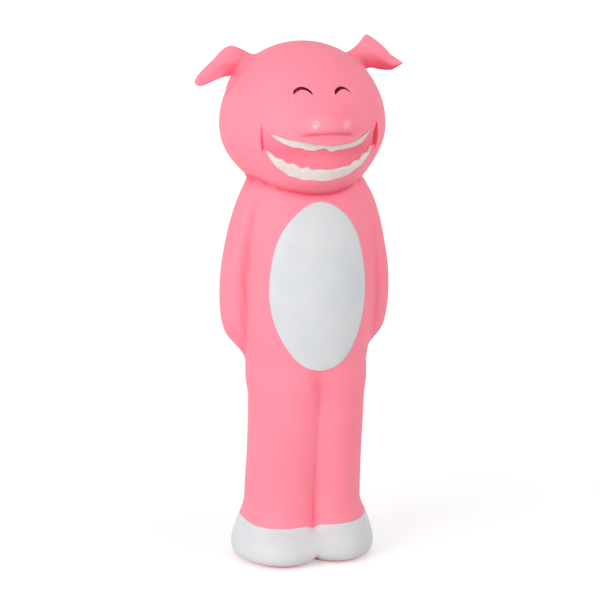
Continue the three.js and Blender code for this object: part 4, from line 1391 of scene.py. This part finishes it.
def lamp(name, place, size, power):
    """A square area lamp at a place in metres, turned to the toy."""
    data = bpy.data.lights.new(name, "AREA")
    data.size = size
    data.energy = power
    obj = bpy.data.objects.new(name, data)
    bpy.context.scene.collection.objects.link(obj)
    obj.location = place
    obj.rotation_euler = (Vector(place) - LIT_PLACE).to_track_quat("Z", "Y").to_euler()
    return obj


lamp("key", (-1.5, -0.9, 0.55), 1.1, 17.8)
lamp("fill", (0.9, -0.9, 0.3), 0.9, 3.7)


# %% World
SURROUNDING_LIGHT = 0.73


def split_by_ray(tree, lighting, seen):
    """One shader for the rays that light the toy, another for camera, mirror and glass rays."""
    rays = node(tree, "LightPath").outputs
    mirror = node(tree, "Math", {0: rays["Is Camera Ray"], 1: rays["Is Glossy Ray"]},
                  operation="MAXIMUM").outputs[0]
    either = node(tree, "Math", {0: mirror, 1: rays["Is Transmission Ray"]},
                  operation="MAXIMUM").outputs[0]
    return node(tree, "MixShader", {"Fac": either, 1: lighting, 2: seen}).outputs[0]


def make_world():
    """White where it is seen, and a weaker white as the light that comes from all around."""
    world = bpy.data.worlds.new("studio")
    world.use_nodes = True
    tree = world.node_tree
    tree.nodes.clear()
    around, seen = (node(tree, "Background", {"Color": (1, 1, 1, 1), "Strength": strength})
                    for strength in (SURROUNDING_LIGHT, 1.0))
    mixed = split_by_ray(tree, around.outputs[0], seen.outputs[0])
    node(tree, "OutputWorld", {"Surface": mixed})
    return world


bpy.context.scene.world = make_world()

# %% Floor
FLOOR_HALF = 5
FLOOR_DROP = 0.0001
CARD = 0.7
square = [(-FLOOR_HALF, -FLOOR_HALF), (FLOOR_HALF, -FLOOR_HALF),
          (FLOOR_HALF, FLOOR_HALF), (-FLOOR_HALF, FLOOR_HALF)]
floor_mesh = bpy.data.meshes.new("floor")
floor_mesh.from_pydata([(x, y, -FLOOR_DROP) for x, y in square], [], [(0, 1, 2, 3)])
floor = bpy.data.objects.new("floor", floor_mesh)
bpy.context.scene.collection.objects.link(floor)


def make_floor():
    """White card: diffuse for the shadow, and a glow for camera, mirror and glass rays only."""
    material = bpy.data.materials.new("white sweep")
    material.use_nodes = True
    tree = material.node_tree
    tree.nodes.clear()
    card = node(tree, "BsdfDiffuse", {"Color": (CARD, CARD, CARD, 1)}).outputs[0]
    place = node(tree, "TexCoord").outputs["Object"]
    away = node(tree, "VectorMath", {0: place}, operation="LENGTH").outputs["Value"]
    level = map_range(tree, away, (0.1, 0.9), (0.42, 0.64))
    glow = node(tree, "Emission", {"Color": (1, 1, 1, 1), "Strength": level}).outputs[0]
    both = node(tree, "AddShader", {0: card, 1: glow}).outputs[0]
    node(tree, "OutputMaterial", {"Surface": split_by_ray(tree, card, both)})
    return material


give(make_floor(), floor)

# %% View transform
scene = bpy.context.scene
scene.view_settings.view_transform = "Standard"
